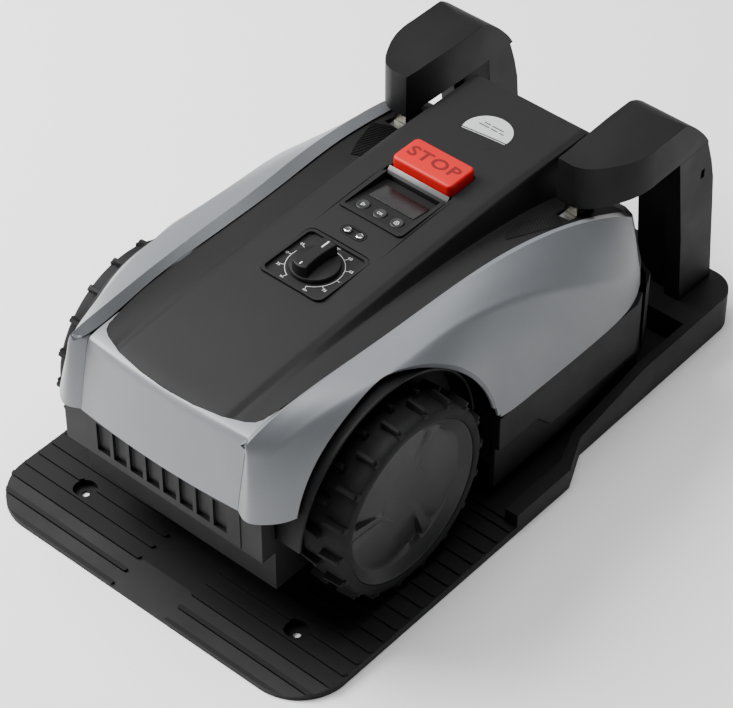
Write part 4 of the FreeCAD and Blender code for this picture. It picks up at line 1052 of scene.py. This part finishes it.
def panelButton(spec, index, pieceName, body, nodeName, mark):
    x, top, r = index * spec["pitch"], spec["top"], spec["radius"]
    capFoot, stemFoot = top - spec["capTall"], top - spec["stemFoot"]
    profile = [(0.0, top - spec["dish"]), (r * 0.45, top - spec["dish"] * 0.75), (r * 0.78, top - 0.12),
               (r * 0.9, top), (r, top - 0.5), (r, capFoot), (spec["stemRadius"], capFoot),
               (spec["stemRadius"], stemFoot), (0.0, stemFoot)]
    bm = bmesh.new()
    spun(bm, profile, 40)
    moveBy(bm, bm.verts[:], x, spec["y"], 0)
    button = finishMesh(bm, pieceName, buttonSoft, body, 40)
    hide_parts(nodeName)
    ink = bmesh.new()
    mark(ink)
    bmesh.ops.scale(ink, vec=(spec["markScale"], spec["markScale"], 1), verts=ink.verts[:])
    moveBy(ink, ink.verts[:], x, spec["y"], top - spec["dish"] + 0.18)
    finishMesh(ink, pieceName + "Mark", whiteInk, body, turnOut=False)


def barMark(bm, size, at, turn=0.0):
    bar = addBox(bm, (size[0], size[1], 0.12))
    turnAbout(bm, bar, turn, "Z")
    moveBy(bm, bar, at[0], at[1], 0)


def playMark(bm):
    barMark(bm, (0.45, 3.6), (-1.3, 0))
    barMark(bm, (0.45, 3.6), (0.15, 0.95), 60)
    barMark(bm, (0.45, 3.6), (0.15, -0.95), -60)


def okMark(bm):
    bm.from_mesh(textMesh("OK", 3.6 * mm, 0.12 * mm))


def lockMark(bm):
    for sx in (-1, 1):
        barMark(bm, (0.42, 2.4), (sx * 1.7, -0.6))
        barMark(bm, (0.42, 1.3), (sx * 1.0, 1.2))
    for y in (-1.8, 0.6):
        barMark(bm, (3.8, 0.42), (0, y))
    barMark(bm, (2.4, 0.42), (0, 1.9))
    barMark(bm, (0.5, 0.9), (0, -0.6))


panelButton(buttonSpec, -1, "playButton", "play", "play_button", playMark)
panelButton(buttonSpec, 0, "okButton", "ok", "ok_button", okMark)
panelButton(buttonSpec, 1, "lockButton", "lock", "lock_button", lockMark)
print("panel buttons made")


# camera, light and floor

cameraSpec = {"azimuth": 41.0295, "elevation": 43.1129, "distance": 2868.82, "lens": 139.43,
              "lookAt": (16.677, -42.251, 120.0)}


def placeCamera(spec):
    a, e = math.radians(spec["azimuth"]), math.radians(spec["elevation"])
    back = Vector((math.sin(a) * math.cos(e), -math.cos(a) * math.cos(e), math.sin(e)))
    right = Vector((math.cos(a), math.sin(a), 0))
    up = back.cross(right)
    camera = linked("camera", bpy.data.cameras.new("camera"))
    camera.data.lens = spec["lens"]
    camera.data.sensor_width = 36.0
    camera.data.clip_start = 0.1
    camera.data.clip_end = 20.0
    turn = Matrix((right, up, back)).transposed().to_4x4()
    camera.matrix_world = Matrix.Translation((Vector(spec["lookAt"]) + back * spec["distance"]) * mm) @ turn
    bpy.context.scene.camera = camera


lightSpec = {
    "key": {"at": (-2.1, -0.8, 2.3), "size": (1.9, 1.9), "power": 235},
    "front": {"at": (-0.9, -2.6, 1.2), "size": (1.2, 0.8), "power": 10},
    "back": {"at": (-0.8, 2.2, 1.6), "size": (1.6, 0.8), "power": 8},
    "top": {"at": (-0.1, 0.2, 3.2), "size": (2.2, 2.2), "power": 82},
}


def placeLights(spec):
    for name, settings in spec.items():
        lamp = bpy.data.lights.new(name, "AREA")
        lamp.shape = "RECTANGLE"
        lamp.size, lamp.size_y = settings["size"]
        lamp.energy = settings["power"]
        holder = linked(name + "Light", lamp)
        holder.location = settings["at"]
        aim = Vector((0, 0, 0.1)) - holder.location
        holder.rotation_mode = "QUATERNION"
        holder.rotation_quaternion = aim.to_track_quat("-Z", "Y")
    world = bpy.data.worlds.new("studio")
    world.use_nodes = True
    sky = world.node_tree.nodes["Background"]
    sky.inputs["Color"].default_value = hexColor("fbfbfc")
    sky.inputs["Strength"].default_value = 0.16
    bpy.context.scene.world = world


def placeFloor():
    bm = bmesh.new()
    bmesh.ops.create_grid(bm, x_segments=1, y_segments=1, size=6.0)
    floor = linked("floor", meshFrom(bm, "floor"))
    material, tree = newMaterial("painted studio floor, matt white")
    place = addNode(tree, "ShaderNodeTexCoord").outputs["Object"]
    mottle = addNode(tree, "ShaderNodeTexNoise", {"Scale": 3.0, "Detail": 2.0}, {"Vector": place})
    gloss = addNode(tree, "ShaderNodeMapRange", {"To Min": 0.7, "To Max": 0.85}, {"Value": mottle.outputs["Fac"]})
    shader = addNode(tree, "ShaderNodeBsdfPrincipled", {"Base Color": hexColor("f8f8f8")},
                     {"Roughness": gloss.outputs[0]})
    addNode(tree, "ShaderNodeOutputMaterial", {}, {"Surface": shader.outputs[0]})
    floor.data.materials.append(material)


placeCamera(cameraSpec)
placeLights(lightSpec)
placeFloor()
print("camera, lights and floor placed")
